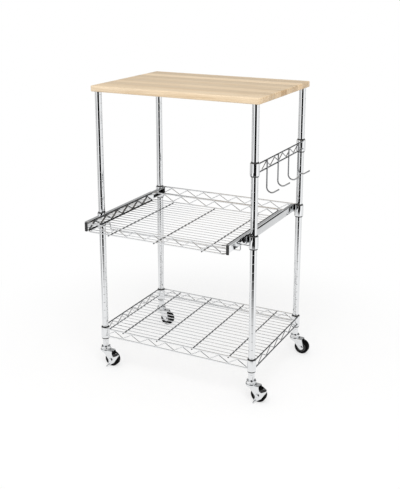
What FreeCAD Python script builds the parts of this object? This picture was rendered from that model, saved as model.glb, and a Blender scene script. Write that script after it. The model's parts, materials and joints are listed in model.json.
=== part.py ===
import FreeCAD, Part
import math
import os
from FreeCAD import Vector

# A kitchen island cart: a wooden worktop on four grooved chromed posts, a wire shelf below, a wire
# tray that pulls out on roller slides, a rack of hooks on the right, and four swivel casters.
# Millimetres, +X right, -Y front, +Z up. The origin is on the floor, midway between the posts.

# ---- driving dimensions ---------------------------------------------------------------------
BOARD_PAST_POSTS_X = 17.0       # edge of the worktop beyond the posts' centres
BOARD_PAST_POSTS_Y = 16.0
BOARD_THICK = 17.0
BOARD_CORNER_R = 6.0            # upright corners
BOARD_EDGE_R = 3.0              # top and bottom edges

POST_SPAN_X = 490.0             # post centre to post centre
POST_SPAN_Y = 346.0
POST_LENGTH = 789.0
POST_R = 9.5
POST_WALL = 1.2
GROOVE_PITCH = 25.4
GROOVE_DEPTH = 0.6
GROOVE_HALF_WIDTH = 0.8
FIRST_GROOVE = 19.2             # from the lower end of a post

SHELF_GROOVE_COUNT = 1          # grooves below the one that each level grips
DRAWER_GROOVE_COUNT = 15
HOOK_GROOVE_COUNT = 23
SHELF_RISE = 1.4                # middle of the level's collars above that groove
UPPER_RISE = 10.3

COLLAR_PAST_POST = 3.5          # outside of a collar beyond the post
COLLAR_HEIGHT = 34.0
TOP_BORE_PAST_POST = 1.3        # the bore is a cone, wider below
BOTTOM_BORE_PAST_POST = 2.0
SLEEVE_PROUD = 3.5              # sleeve beyond the collar at each end
SLEEVE_SPLIT = 0.6              # gap between the two halves of a sleeve
FIT = 0.03                      # face to face play of pieces that seat on each other

TRUSS_WIRE_R = 2.0
LATTICE_WIRE_R = 1.3
TRUSS_GAP = 23.5                # upper wire to lower wire, centre to centre
TRUSS_IN_COLLAR = 4.0           # truss plane inside the collar's outer face
LATTICE_BAY = 29.3              # from one bend of the lattice to the next
LATTICE_BEND_R = 4.0
LATTICE_END_GAP = 3.0           # last bend short of the collar

SHELF_ROD_R = 2.0
SHELF_ROD_BAYS = (-6, -2, 2, 6)  # places of the cross rods, in bays from the middle
SHELF_MAT_R = 1.2
SHELF_MAT_COUNT = 17

TRAY_PAST_POSTS = 29.0          # depth of the tray beyond the span of the posts
TRAY_OUT_AT_REST = 85.0         # how far the tray stands open as modelled
TRAY_REAR_GAP = 13.0            # closed tray to the rear truss, centre to centre
TRAY_ABOVE_COLLARS = 20.5       # upper wires above the middle of the collars
TRAY_WIRE_R = 1.75
TRAY_CORNER_R = 12.0
TRAY_CORNER_RUN = 1.0           # straight wire beyond each corner
TRAY_MAT_R = 1.1
TRAY_MAT_COUNT = 17
TRAY_ROD_BAYS = (-5, 0, 5)

SHEET = 1.2                     # sheet steel of the slides
RAIL_FLANGE_WIDTH = 11.2        # flange that rides on the front roller
RAIL_DROP = 1.3                 # lower edge of the rail below the tray's lower wire
RAIL_SET_BACK = 4.0             # front end of the rail behind the tray's front wire
END_CAP_WIDTH = 7.5

CHANNEL_HEIGHT = 22.0
CHANNEL_WIDTH = 11.5
CHANNEL_TO_RAIL = 2.75          # between the channel and the rail
CHANNEL_LIP = 3.0
CHANNEL_PAST_FRONT = 3.0        # front end ahead of the front posts' centres
CHANNEL_SHORT_OF_REAR = 7.0     # rear end ahead of the rear posts' centres
CHANNEL_NOSE = 24.0             # web carried past the channel's front for the roller
CHANNEL_TAIL = 10.0             # and past its rear, to reach the collar
CHANNEL_TO_FLANGE = 1.5         # channel top below the rail's flange

ROLLER_WIDTH = 7.6
FRONT_ROLLER_R = 10.7
ROLLER_GAP = 0.2                # roller to the surface that it runs on
ROLLER_HEAD_GAP = 0.4           # rear roller to the channel's roof
ROLLER_TO_CHANNEL = 2.3         # front roller ahead of the channel
ROLLER_PIN_R = 2.5
ROLLER_BORE_PLAY = 0.06
PIN_HEAD_R = 4.2
PIN_HEAD_HEIGHT = 1.0
REAR_ROLLER_BACK = 26.0         # rear roller ahead of the rail's rear end
END_STOP_LENGTH = 12.0

TIE_WIRE_R = 1.75
TIE_BELOW_COLLARS = 9.0         # its ends below the middle of the collars
TIE_DROP = 18.0
TIE_IN_FROM_POSTS = 35.0        # its legs inboard of the posts' centres
TIE_BEND_R = 5.0

HOOK_COUNT = 4
HOOK_PITCH = 80.0
HOOK_WIRE_R = 2.0
HOOK_SHAFT = 74.6               # straight part below the upper wire
HOOK_BEND_R = 14.0
HOOK_TIP_LENGTH = 18.0
HOOK_TIP_RISE_DEG = 33.0
HOOK_TOP_PROUD = 1.4

WHEEL_R = 22.5
WHEEL_WIDTH = 18.0
TYRE_THICK = 8.0
TYRE_SHOULDER_R = 3.0
HUB_PROUD = 0.5                 # hub beyond the tyre at each side
HUB_DISH = 2.0
HUB_BOSS_R = 8.0
CASTER_TRAIL = 24.5             # swivel axis to axle, along +X
AXLE_R = 4.0
AXLE_PLAY = 0.06
AXLE_HEAD_R = 6.0
AXLE_HEAD_HEIGHT = 3.2
FORK_SHEET = 2.0
FORK_SIDE_GAP = 1.0             # hub to fork leg
FORK_BOSS_R = 8.0
FORK_PLATE_FRONT = 27.0         # reach of the fork's top along +X
FORK_PLATE_BACK = -8.0
WHEEL_CLEARANCE = 1.5
CROWN_R = 16.5
CROWN_ABOVE_WHEEL = 5.0         # top of the crown above the wheel
CROWN_THICK = 4.0
SKIRT_HEIGHT = 4.5
SKIRT_TAPER = 3.0
SKIRT_BORE_R = 12.0
CUP_R = 15.0
CUP_THICK = 3.8
RACE_GAP = 1.2                  # crown to cup
RACE_R = 11.5                   # circle that the balls run on
BALL_R = 1.9
BALL_PLAY = 0.3
STEM_R = 4.0
STEM_HOLE_PLAY = 1.2
STEM_UP = 22.0                  # stem inside the post
STEM_HEX_ACROSS = 27.0
STEM_HEX_HEIGHT = 5.0
RIVET_R = 7.5
RIVET_THICK = 2.4
RIVET_GAP = 0.3
FOOT_PLUG_LENGTH = 26.0

LEVER_THICK = 1.8
LEVER_GAP = 0.3                 # fork leg to lever
LEVER_BOSS_R = 6.5
LEVER_BELLY_R = 9.5             # the lever's broad middle
LEVER_BELLY_X = 5.0             # its centre from the axle
LEVER_BELLY_DROP = 1.0          # and below the axle
LEVER_TOE_X = -5.5              # from the axle
LEVER_TOE_Z = 7.0               # above the floor
LEVER_TOE_R = 3.5
LEVER_HEEL_X = 23.0             # from the axle
LEVER_HEEL_DROP = 2.0           # below the top of the wheel
LEVER_HEEL_R = 6.5
TOE_TAB_R = 2.2
TOE_TAB_REACH = (-2.5, -10.0, -3.5)
PAD_THICK = 4.5
PAD_NEAR_X = 13.5               # its lower end from the axle
PAD_NEAR_DROP = 5.0             # and below the top of the wheel
PAD_FAR_X = 24.5                # its upper end from the axle
PAD_FAR_RISE = 1.0              # and above the top of the wheel
PAD_R = 4.3

TOP_PLUG_LENGTH = 20.0
TOP_STUD_R = 3.0
TOP_STUD_UP = 11.0
INSERT_R = 5.5
INSERT_DEPTH = 12.5

# ---- worked out -----------------------------------------------------------------------------
HALF_X = POST_SPAN_X / 2
HALF_Y = POST_SPAN_Y / 2
AXLE_Z = WHEEL_R
LEG_IN = WHEEL_WIDTH / 2 + HUB_PROUD + FORK_SIDE_GAP
LEG_OUT = LEG_IN + FORK_SHEET
CROWN_TOP_Z = 2 * WHEEL_R + CROWN_ABOVE_WHEEL
CUP_LOW_Z = CROWN_TOP_Z + RACE_GAP
CUP_TOP_Z = CUP_LOW_Z + CUP_THICK
POST_FOOT_Z = CUP_TOP_Z + STEM_HEX_HEIGHT
POST_TOP_Z = POST_FOOT_Z + POST_LENGTH
BOARD_HALF_X = HALF_X + BOARD_PAST_POSTS_X
BOARD_HALF_Y = HALF_Y + BOARD_PAST_POSTS_Y
BOARD_TOP_Z = POST_TOP_Z + BOARD_THICK


def groove_z(index):
    """Height of one groove of the posts, counted from 0."""
    return POST_FOOT_Z + FIRST_GROOVE + index * GROOVE_PITCH


def collar_middle(groove, rise):
    return groove_z(groove) + rise


COLLAR_R = POST_R + COLLAR_PAST_POST
TOP_BORE_R = POST_R + TOP_BORE_PAST_POST
BOTTOM_BORE_R = POST_R + BOTTOM_BORE_PAST_POST
TRUSS_OUTBOARD = COLLAR_R - TRUSS_IN_COLLAR
TRUSS_X = HALF_X + TRUSS_OUTBOARD
TRUSS_Y = HALF_Y + TRUSS_OUTBOARD
WIRE_END = math.sqrt(COLLAR_R ** 2 - (TRUSS_OUTBOARD + TRUSS_WIRE_R) ** 2)
DRAWER_FRAME_Z = collar_middle(DRAWER_GROOVE_COUNT, UPPER_RISE)
TRAY_TOP_WIRE_Z = DRAWER_FRAME_Z + TRAY_ABOVE_COLLARS
TRAY_LOW_WIRE_Z = TRAY_TOP_WIRE_Z - TRUSS_GAP
TRAY_DEPTH = POST_SPAN_Y + TRAY_PAST_POSTS
TRAY_REAR_Y = TRUSS_Y - TRAY_REAR_GAP - TRAY_OUT_AT_REST
TRAY_FRONT_Y = TRAY_REAR_Y - TRAY_DEPTH
CHANNEL_OUT_X = HALF_X - COLLAR_R
CHANNEL_IN_X = CHANNEL_OUT_X - CHANNEL_WIDTH
CHANNEL_FRONT_Y = -HALF_Y - CHANNEL_PAST_FRONT
CHANNEL_REAR_Y = HALF_Y - CHANNEL_SHORT_OF_REAR
RAIL_X = CHANNEL_IN_X - CHANNEL_TO_RAIL
RAIL_FRONT_Y = TRAY_FRONT_Y + RAIL_SET_BACK
RAIL_TOP_Z = TRAY_TOP_WIRE_Z + TRAY_WIRE_R
TRAY_HALF_WIDTH = RAIL_X - TRAY_WIRE_R
FLANGE_UNDER_Z = RAIL_TOP_Z - SHEET
CHANNEL_TOP_Z = FLANGE_UNDER_Z - CHANNEL_TO_FLANGE
CHANNEL_LOW_Z = CHANNEL_TOP_Z - CHANNEL_HEIGHT
FRONT_ROLLER_Y = CHANNEL_FRONT_Y - ROLLER_TO_CHANNEL - FRONT_ROLLER_R
FRONT_ROLLER_Z = FLANGE_UNDER_Z - ROLLER_GAP - FRONT_ROLLER_R
REAR_ROLLER_R = (CHANNEL_HEIGHT - 2 * SHEET - ROLLER_GAP - ROLLER_HEAD_GAP) / 2
REAR_ROLLER_Y = TRAY_REAR_Y - REAR_ROLLER_BACK
REAR_ROLLER_Z = CHANNEL_LOW_Z + SHEET + ROLLER_GAP + REAR_ROLLER_R
ROLLER_X = CHANNEL_OUT_X - SHEET - ROLLER_GAP - ROLLER_WIDTH
TIE_UPPER_Z = DRAWER_FRAME_Z - TIE_BELOW_COLLARS
TIE_HALF_WIDTH = HALF_X - TIE_IN_FROM_POSTS
CORNERS = {
    "front_left": (-HALF_X, -HALF_Y),
    "front_right": (HALF_X, -HALF_Y),
    "rear_left": (-HALF_X, HALF_Y),
    "rear_right": (HALF_X, HALF_Y),
}
LEFT_POSTS = ("front_left", "rear_left")
RIGHT_POSTS = ("front_right", "rear_right")
BRAKED = ("front_left", "front_right")
Z_AXIS = Vector(0, 0, 1)
Y_AXIS = Vector(0, 1, 0)
X_AXIS = Vector(1, 0, 0)


# ---- helpers --------------------------------------------------------------------------------
def cylinder(radius, start, direction, length):
    return Part.makeCylinder(radius, length, Vector(*start), direction)


def bar(start, end, radius):
    """A straight round wire between two points."""
    start, end = Vector(*start), Vector(*end)
    return Part.makeCylinder(radius, start.distanceToPoint(end), start, end - start)


def box(low, high):
    return Part.makeBox(*(h - l for l, h in zip(low, high)), Vector(*low))


def bent_wire(points, radius, bend):
    """A round wire along straight runs joined by arcs of the given bend radius."""
    points = [Vector(*p) for p in points]
    edges = []
    start = points[0]
    for before, corner, after in zip(points, points[1:], points[2:]):
        towards = (before - corner).normalize()
        away = (after - corner).normalize()
        half = towards.getAngle(away) / 2
        run = bend / math.tan(half)
        enter, leave = corner + towards * run, corner + away * run
        middle = (towards + away).normalize()
        top = corner + middle * (bend / math.sin(half) - bend)
        edges.append(Part.LineSegment(start, enter).toShape())
        edges.append(Part.Arc(enter, top, leave).toShape())
        start = leave
    edges.append(Part.LineSegment(start, points[-1]).toShape())
    section = Part.Face(Part.Wire(Part.Circle(points[0], points[1] - points[0], radius).toShape()))
    return Part.Wire(edges).makePipe(section)


def plate(outline, y_low, y_high):
    """A flat plate with its outline in X and Z."""
    points = [Vector(x, y_low, z) for x, z in outline]
    face = Part.Face(Part.makePolygon(points + points[:1]))
    return face.extrude(Vector(0, y_high - y_low, 0))


def tangent_point(outside, centre, radius, side):
    """Where a line from a point outside a circle touches the circle."""
    dx, dz = outside[0] - centre[0], outside[1] - centre[1]
    angle = math.atan2(dz, dx) + side * math.acos(radius / math.hypot(dx, dz))
    return centre[0] + radius * math.cos(angle), centre[1] + radius * math.sin(angle)


def link(end_a, radius_a, end_b, radius_b, y_low, y_high):
    """A flat link: two round ends in X and Z and the straight sides that touch both."""
    dx, dz = end_b[0] - end_a[0], end_b[1] - end_a[1]
    turn = math.acos((radius_a - radius_b) / math.hypot(dx, dz))
    heading = math.atan2(dz, dx)
    outline = []
    for end, radius, sides in ((end_a, radius_a, (-1, 1)), (end_b, radius_b, (1, -1))):
        for side in sides:
            angle = heading + side * turn
            outline.append((end[0] + radius * math.cos(angle), end[1] + radius * math.sin(angle)))
    width = y_high - y_low
    rounds = [cylinder(r, (e[0], y_low, e[1]), Y_AXIS, width)
              for e, r in ((end_a, radius_a), (end_b, radius_b))]
    return plate(outline, y_low, y_high).multiFuse(rounds).removeSplitter()


def turned(profile, x, y):
    """A solid of revolution about an upright axis, from (radius, height) points."""
    points = [Vector(x + r, y, z) for r, z in profile]
    face = Part.Face(Part.makePolygon(points + points[:1]))
    return face.revolve(Vector(x, y, 0), Z_AXIS, 360)


def mirrored(shape):
    """The same piece on the other side of the middle plane X = 0."""
    return shape.mirror(Vector(0, 0, 0), X_AXIS)


nodes = {}


def node(name, *solids):
    """One named node: a single solid, or a group of solids."""
    nodes[name] = solids[0] if len(solids) == 1 else Part.makeCompound(list(solids))


# ---- worktop and posts ----------------------------------------------------------------------
def worktop():
    board = box((-BOARD_HALF_X, -BOARD_HALF_Y, POST_TOP_Z),
                (BOARD_HALF_X, BOARD_HALF_Y, BOARD_TOP_Z))
    upright = [e for e in board.Edges if abs(e.tangentAt(e.FirstParameter).z) > 0.9]
    board = board.makeFillet(BOARD_CORNER_R, upright)
    flat = [e for e in board.Edges if abs(e.BoundBox.ZLength) < BOARD_EDGE_R / 10]
    board = board.makeFillet(BOARD_EDGE_R, flat)
    holes = [cylinder(INSERT_R + FIT, (x, y, POST_TOP_Z), Z_AXIS, INSERT_DEPTH)
             for x, y in CORNERS.values()]
    return board.cut(holes)


def board_insert(x, y):
    """A threaded insert set in the underside of the worktop."""
    body = cylinder(INSERT_R, (x, y, POST_TOP_Z + FIT), Z_AXIS, INSERT_DEPTH - 2 * FIT)
    return body.cut(cylinder(TOP_STUD_R + FIT, (x, y, POST_TOP_Z), Z_AXIS, INSERT_DEPTH))


def top_plug(x, y):
    """A plug in the upper end of a post, with the stud that the worktop screws onto."""
    body = cylinder(POST_R - POST_WALL - FIT, (x, y, POST_TOP_Z - TOP_PLUG_LENGTH), Z_AXIS,
                    TOP_PLUG_LENGTH)
    stud = cylinder(TOP_STUD_R, (x, y, POST_TOP_Z - TOP_PLUG_LENGTH), Z_AXIS,
                    TOP_PLUG_LENGTH + TOP_STUD_UP)
    return body.fuse(stud).removeSplitter()


def foot_plug(x, y):
    """A threaded plug in the lower end of a post, which takes the stem of a caster."""
    body = cylinder(POST_R - POST_WALL - FIT, (x, y, POST_FOOT_Z), Z_AXIS, FOOT_PLUG_LENGTH)
    return body.cut(cylinder(STEM_R + FIT, (x, y, POST_FOOT_Z), Z_AXIS, FOOT_PLUG_LENGTH))


def post(x, y):
    """A grooved tube: a revolved wall with a shallow V groove at every pitch."""
    outer = [(POST_R, POST_FOOT_Z)]
    index = 0
    while groove_z(index) + GROOVE_HALF_WIDTH < POST_TOP_Z - GROOVE_HALF_WIDTH:
        middle = groove_z(index)
        outer += [(POST_R, middle - GROOVE_HALF_WIDTH), (POST_R - GROOVE_DEPTH, middle),
                  (POST_R, middle + GROOVE_HALF_WIDTH)]
        index += 1
    outer.append((POST_R, POST_TOP_Z))
    inner_r = POST_R - POST_WALL
    return turned(outer + [(inner_r, POST_TOP_Z), (inner_r, POST_FOOT_Z)], x, y)


# ---- collars and split sleeves --------------------------------------------------------------
def bore_r(height):
    """Radius of the conical bore at a height above the middle of the collar."""
    share = height / COLLAR_HEIGHT + 0.5
    return BOTTOM_BORE_R + (TOP_BORE_R - BOTTOM_BORE_R) * share


def collar(x, y, middle):
    low, high = middle - COLLAR_HEIGHT / 2, middle + COLLAR_HEIGHT / 2
    return turned([(bore_r(-COLLAR_HEIGHT / 2), low), (COLLAR_R, low), (COLLAR_R, high),
                   (bore_r(COLLAR_HEIGHT / 2), high)], x, y)


def sleeve_halves(x, y, groove, rise):
    """Two half sleeves that wedge a collar on a post; a ridge inside them sits in a groove."""
    middle = collar_middle(groove, rise)
    reach = COLLAR_HEIGHT / 2 + SLEEVE_PROUD
    ridge = groove_z(groove)
    inner = POST_R + FIT
    profile = [(inner, middle - reach), (bore_r(-reach) - FIT, middle - reach),
               (bore_r(reach) - FIT, middle + reach), (inner, middle + reach),
               (inner, ridge + GROOVE_HALF_WIDTH), (inner - GROOVE_DEPTH, ridge),
               (inner, ridge - GROOVE_HALF_WIDTH)]
    whole = turned(profile, x, y)
    gap, size = SLEEVE_SPLIT / 2, 2 * COLLAR_R
    halves = []
    for side in (-1, 1):
        low, high = sorted((side * gap, side * size))
        halves.append(whole.common(box((x - size, y + low, middle - 2 * reach),
                                       (x + size, y + high, middle + 2 * reach))))
    return halves


def level_collars(corners, groove, rise):
    return [collar(*CORNERS[c], collar_middle(groove, rise)) for c in corners]


def level_sleeves(corners, groove, rise):
    return [half for c in corners for half in sleeve_halves(*CORNERS[c], groove, rise)]


# ---- trusses --------------------------------------------------------------------------------
def lattice(place, first_bay, bays, starts_high, reach, wire_r):
    """The zigzag wire of a truss. place turns a distance along it and a height into a point."""
    low, high = wire_r + LATTICE_WIRE_R, TRUSS_GAP - wire_r - LATTICE_WIRE_R
    points = []
    for i in range(bays + 1):
        along = max(-reach, min(reach, (first_bay + i) * LATTICE_BAY))
        is_high = (i % 2 == 0) == starts_high
        points.append(place(along, high if is_high else low))
    return bent_wire(points, LATTICE_WIRE_R, LATTICE_BEND_R)


def frame_truss(place, half_span, high_at_middle, ends):
    """Two straight wires between collars and the lattice between them."""
    reach = half_span - WIRE_END
    wires = []
    for height in (0.0, TRUSS_GAP):
        wire = bar(place(-reach, height), place(reach, height), TRUSS_WIRE_R)
        wires.append(wire.cut(ends))
    stop = reach - LATTICE_END_GAP - LATTICE_WIRE_R
    half_bays = int((half_span - COLLAR_R) / LATTICE_BAY + 0.5)
    zigzag = lattice(place, -half_bays, 2 * half_bays,
                     high_at_middle == (half_bays % 2 == 0), stop, TRUSS_WIRE_R)
    return wires + [zigzag]


def truss_low_z(groove, rise):
    """Centre of a level's lower wires; its upper wires are flush with the collars' tops."""
    return collar_middle(groove, rise) + COLLAR_HEIGHT / 2 - TRUSS_WIRE_R - TRUSS_GAP


def truss_along_x(y, groove, rise, ends):
    low = truss_low_z(groove, rise)
    return frame_truss(lambda along, up: (along, y, low + up), HALF_X, False, ends)


def truss_along_y(x, groove, rise, ends):
    low = truss_low_z(groove, rise)
    return frame_truss(lambda along, up: (x, along, low + up), HALF_Y, True, ends)


def collar_cores(groove, rise):
    """Solid cylinders in place of the collars of a level, to trim the wires that meet them."""
    low = collar_middle(groove, rise) - COLLAR_HEIGHT
    return [cylinder(COLLAR_R, (x, y, low), Z_AXIS, 2 * COLLAR_HEIGHT) for x, y in CORNERS.values()]


# ---- lower shelf ----------------------------------------------------------------------------
def shelf_mat():
    """Long thin wires that lie on cross rods; the rods pass under the front and rear trusses."""
    rod_z = truss_low_z(SHELF_GROOVE_COUNT, SHELF_RISE) + TRUSS_GAP - TRUSS_WIRE_R - SHELF_ROD_R
    mat_z = rod_z + SHELF_ROD_R + SHELF_MAT_R
    rods = [bar((i * LATTICE_BAY, -TRUSS_Y - TRUSS_WIRE_R, rod_z),
                (i * LATTICE_BAY, TRUSS_Y + TRUSS_WIRE_R, rod_z), SHELF_ROD_R)
            for i in SHELF_ROD_BAYS]
    step = 2 * TRUSS_Y / (SHELF_MAT_COUNT + 1)
    reach = TRUSS_X - TRUSS_WIRE_R
    for i in range(SHELF_MAT_COUNT):
        y = -TRUSS_Y + (i + 1) * step
        end = min(reach, mat_reach(y, reach))
        rods.append(bar((-end, y, mat_z), (end, y, mat_z), SHELF_MAT_R))
    return rods


def mat_reach(y, reach):
    """Half length of a mat wire: wires that run level with the collars stop short of them."""
    beside = abs(abs(y) - HALF_Y) < COLLAR_R + SHELF_MAT_R
    return HALF_X - COLLAR_R if beside else reach


# ---- pull-out tray --------------------------------------------------------------------------
def tray_end_truss(y, inward):
    """Front or rear wall of the tray; its wires turn the corners towards the side walls."""
    solids = []
    end = y + inward * (TRAY_CORNER_R + TRAY_CORNER_RUN)
    for z in (TRAY_LOW_WIRE_Z, TRAY_TOP_WIRE_Z):
        path = [(-TRAY_HALF_WIDTH, end, z), (-TRAY_HALF_WIDTH, y, z),
                (TRAY_HALF_WIDTH, y, z), (TRAY_HALF_WIDTH, end, z)]
        solids.append(bent_wire(path, TRAY_WIRE_R, TRAY_CORNER_R))
    bays = 2 * int((TRAY_HALF_WIDTH - TRAY_CORNER_R) / LATTICE_BAY + 0.5)
    solids.append(lattice(lambda along, up: (along, y, TRAY_LOW_WIRE_Z + up), -bays / 2, bays,
                          False, TRAY_HALF_WIDTH - TRAY_CORNER_R, TRAY_WIRE_R))
    return solids


def tray_side_truss(x):
    """A side wall of the tray, between the turned ends of the front and rear wires."""
    middle = (TRAY_FRONT_Y + TRAY_REAR_Y) / 2
    reach = TRAY_DEPTH / 2 - TRAY_CORNER_R - TRAY_CORNER_RUN
    solids = [bar((x, middle - reach, z), (x, middle + reach, z), TRAY_WIRE_R)
              for z in (TRAY_LOW_WIRE_Z, TRAY_TOP_WIRE_Z)]
    bays = 2 * int(TRAY_DEPTH / 2 / LATTICE_BAY)
    solids.append(lattice(lambda along, up: (x, middle + along, TRAY_LOW_WIRE_Z + up), -bays / 2,
                          bays, False, reach, TRAY_WIRE_R))
    return solids


def tray_mat():
    """Cross rods under the tray's lower wires and the thin wires of its floor."""
    rod_z = TRAY_LOW_WIRE_Z - 2 * TRAY_WIRE_R
    mat_z = rod_z + TRAY_WIRE_R + TRAY_MAT_R
    rods = [bar((i * LATTICE_BAY, TRAY_FRONT_Y - TRAY_WIRE_R, rod_z),
                (i * LATTICE_BAY, TRAY_REAR_Y + TRAY_WIRE_R, rod_z), TRAY_WIRE_R)
            for i in TRAY_ROD_BAYS]
    step = TRAY_DEPTH / (TRAY_MAT_COUNT + 1)
    for i in range(TRAY_MAT_COUNT):
        y = TRAY_FRONT_Y + (i + 1) * step
        inset = max(0.0, TRAY_CORNER_R - min(i + 1, TRAY_MAT_COUNT - i) * step)
        end = TRAY_HALF_WIDTH - TRAY_WIRE_R - inset
        rods.append(bar((-end, y, mat_z), (end, y, mat_z), TRAY_MAT_R))
    return rods


# ---- roller slides, right-hand side; the left is its mirror image ---------------------------
def channel():
    """The fixed member: a C of sheet steel whose web runs on to the collars and the front roller."""
    inner, low, high = CHANNEL_IN_X, CHANNEL_LOW_Z, CHANNEL_TOP_Z
    web = box((CHANNEL_OUT_X - SHEET, CHANNEL_FRONT_Y - CHANNEL_NOSE, low),
              (CHANNEL_OUT_X, CHANNEL_REAR_Y + CHANNEL_TAIL, high))
    floor = box((inner, CHANNEL_FRONT_Y, low), (CHANNEL_OUT_X, CHANNEL_REAR_Y, low + SHEET))
    roof = box((inner, CHANNEL_FRONT_Y, high - SHEET), (CHANNEL_OUT_X, CHANNEL_REAR_Y, high))
    lips = [box((inner, CHANNEL_FRONT_Y, start), (inner + SHEET, CHANNEL_REAR_Y, start + CHANNEL_LIP))
            for start in (low, high - CHANNEL_LIP)]
    return web.multiFuse([floor, roof, *lips]).removeSplitter()


def rail():
    """The moving member: a web on the tray's side wires and a flange that rides on the roller."""
    low = TRAY_LOW_WIRE_Z - RAIL_DROP
    web = box((RAIL_X, RAIL_FRONT_Y, low), (RAIL_X + SHEET, TRAY_REAR_Y, RAIL_TOP_Z))
    flange = box((RAIL_X, RAIL_FRONT_Y, FLANGE_UNDER_Z),
                 (RAIL_X + RAIL_FLANGE_WIDTH, TRAY_REAR_Y, RAIL_TOP_Z))
    return web.fuse(flange).removeSplitter()


def end_cap():
    """A plastic cap on the front end of a rail."""
    low = TRAY_LOW_WIRE_Z - RAIL_DROP
    return box((RAIL_X, TRAY_FRONT_Y, low), (RAIL_X + END_CAP_WIDTH, RAIL_FRONT_Y, RAIL_TOP_Z))


def roller(y, z, radius):
    """A nylon roller with a running fit on its pin."""
    body = cylinder(radius, (ROLLER_X, y, z), X_AXIS, ROLLER_WIDTH)
    return body.cut(cylinder(ROLLER_PIN_R + ROLLER_BORE_PLAY, (ROLLER_X, y, z), X_AXIS,
                             ROLLER_WIDTH))


def front_pin():
    """The front roller's pin, riveted in the channel's web, with its head inboard."""
    head_x = ROLLER_X - ROLLER_GAP - PIN_HEAD_HEIGHT
    pin = cylinder(ROLLER_PIN_R, (head_x, FRONT_ROLLER_Y, FRONT_ROLLER_Z), X_AXIS,
                   CHANNEL_OUT_X - SHEET - head_x)
    head = cylinder(PIN_HEAD_R, (head_x, FRONT_ROLLER_Y, FRONT_ROLLER_Z), X_AXIS, PIN_HEAD_HEIGHT)
    return pin.fuse(head).removeSplitter()


def rear_pin():
    """The rear roller's pin, riveted in the rail's web."""
    start = RAIL_X + SHEET
    return cylinder(ROLLER_PIN_R, (start, REAR_ROLLER_Y, REAR_ROLLER_Z), X_AXIS,
                    ROLLER_X + ROLLER_WIDTH - start)


def end_stop():
    """A rubber block in the rear end of the channel."""
    return box((CHANNEL_IN_X + SHEET, CHANNEL_REAR_Y - END_STOP_LENGTH, CHANNEL_LOW_Z + SHEET),
               (CHANNEL_OUT_X - SHEET, CHANNEL_REAR_Y, CHANNEL_TOP_Z - SHEET))


def front_tie():
    """A wire between the front collars that dips under the tray."""
    reach = HALF_X - WIRE_END
    low = TIE_UPPER_Z - TIE_DROP
    path = [(-reach, -TRUSS_Y, TIE_UPPER_Z), (-TIE_HALF_WIDTH, -TRUSS_Y, TIE_UPPER_Z),
            (-TIE_HALF_WIDTH, -TRUSS_Y, low), (TIE_HALF_WIDTH, -TRUSS_Y, low),
            (TIE_HALF_WIDTH, -TRUSS_Y, TIE_UPPER_Z), (reach, -TRUSS_Y, TIE_UPPER_Z)]
    wire = bent_wire(path, TIE_WIRE_R, TIE_BEND_R)
    return wire.cut(collar_cores(DRAWER_GROOVE_COUNT, UPPER_RISE))


# ---- hook rack ------------------------------------------------------------------------------
def hook(y):
    """A hook welded on the outside of the rack's wires, with its tip turned up and outwards."""
    x = TRUSS_X + TRUSS_WIRE_R + HOOK_WIRE_R
    wire_z = truss_low_z(HOOK_GROOVE_COUNT, UPPER_RISE) + TRUSS_GAP
    bottom = wire_z - HOOK_SHAFT
    rise = math.radians(HOOK_TIP_RISE_DEG)
    centre = Vector(x + HOOK_BEND_R, y, bottom)

    def on_bend(angle):
        return centre + Vector(math.cos(angle), 0, math.sin(angle)) * HOOK_BEND_R

    leave = 1.5 * math.pi + rise
    shaft_top = Vector(x, y, wire_z + HOOK_TOP_PROUD)
    shaft_end, bend_end = on_bend(math.pi), on_bend(leave)
    tip = bend_end + Vector(math.cos(rise), 0, math.sin(rise)) * HOOK_TIP_LENGTH
    path = Part.Wire([Part.LineSegment(shaft_top, shaft_end).toShape(),
                      Part.Arc(shaft_end, on_bend((math.pi + leave) / 2), bend_end).toShape(),
                      Part.LineSegment(bend_end, tip).toShape()])
    section = Part.Face(Part.Wire(Part.Circle(shaft_top, Z_AXIS, HOOK_WIRE_R).toShape()))
    return path.makePipe(section)


# ---- casters --------------------------------------------------------------------------------
def race_groove(x, y):
    """The ring-shaped space that the ball race runs in."""
    middle = CROWN_TOP_Z + RACE_GAP / 2
    return Part.makeTorus(RACE_R, BALL_R + BALL_PLAY, Vector(x, y, middle))


def caster_stem(x, y):
    """Threaded stem with its hexagon and upper race cup above, and a rivet head under the crown."""
    rivet_z = CROWN_TOP_Z - CROWN_THICK - RIVET_GAP - RIVET_THICK
    stem = cylinder(STEM_R, (x, y, rivet_z), Z_AXIS, POST_FOOT_Z + STEM_UP - rivet_z)
    rivet = cylinder(RIVET_R, (x, y, rivet_z), Z_AXIS, RIVET_THICK)
    cup = cylinder(CUP_R, (x, y, CUP_LOW_Z), Z_AXIS, CUP_THICK).cut(race_groove(x, y))
    corner_r = STEM_HEX_ACROSS / 2 / math.cos(math.pi / 6)
    corners = [Vector(x + corner_r * math.cos(a), y + corner_r * math.sin(a), CUP_TOP_Z)
               for a in (math.pi * i / 3 for i in range(6))]
    face = Part.Face(Part.makePolygon(corners + corners[:1]))
    hexagon = face.extrude(Vector(0, 0, STEM_HEX_HEIGHT))
    return stem.multiFuse([rivet, cup, hexagon]).removeSplitter()


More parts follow.
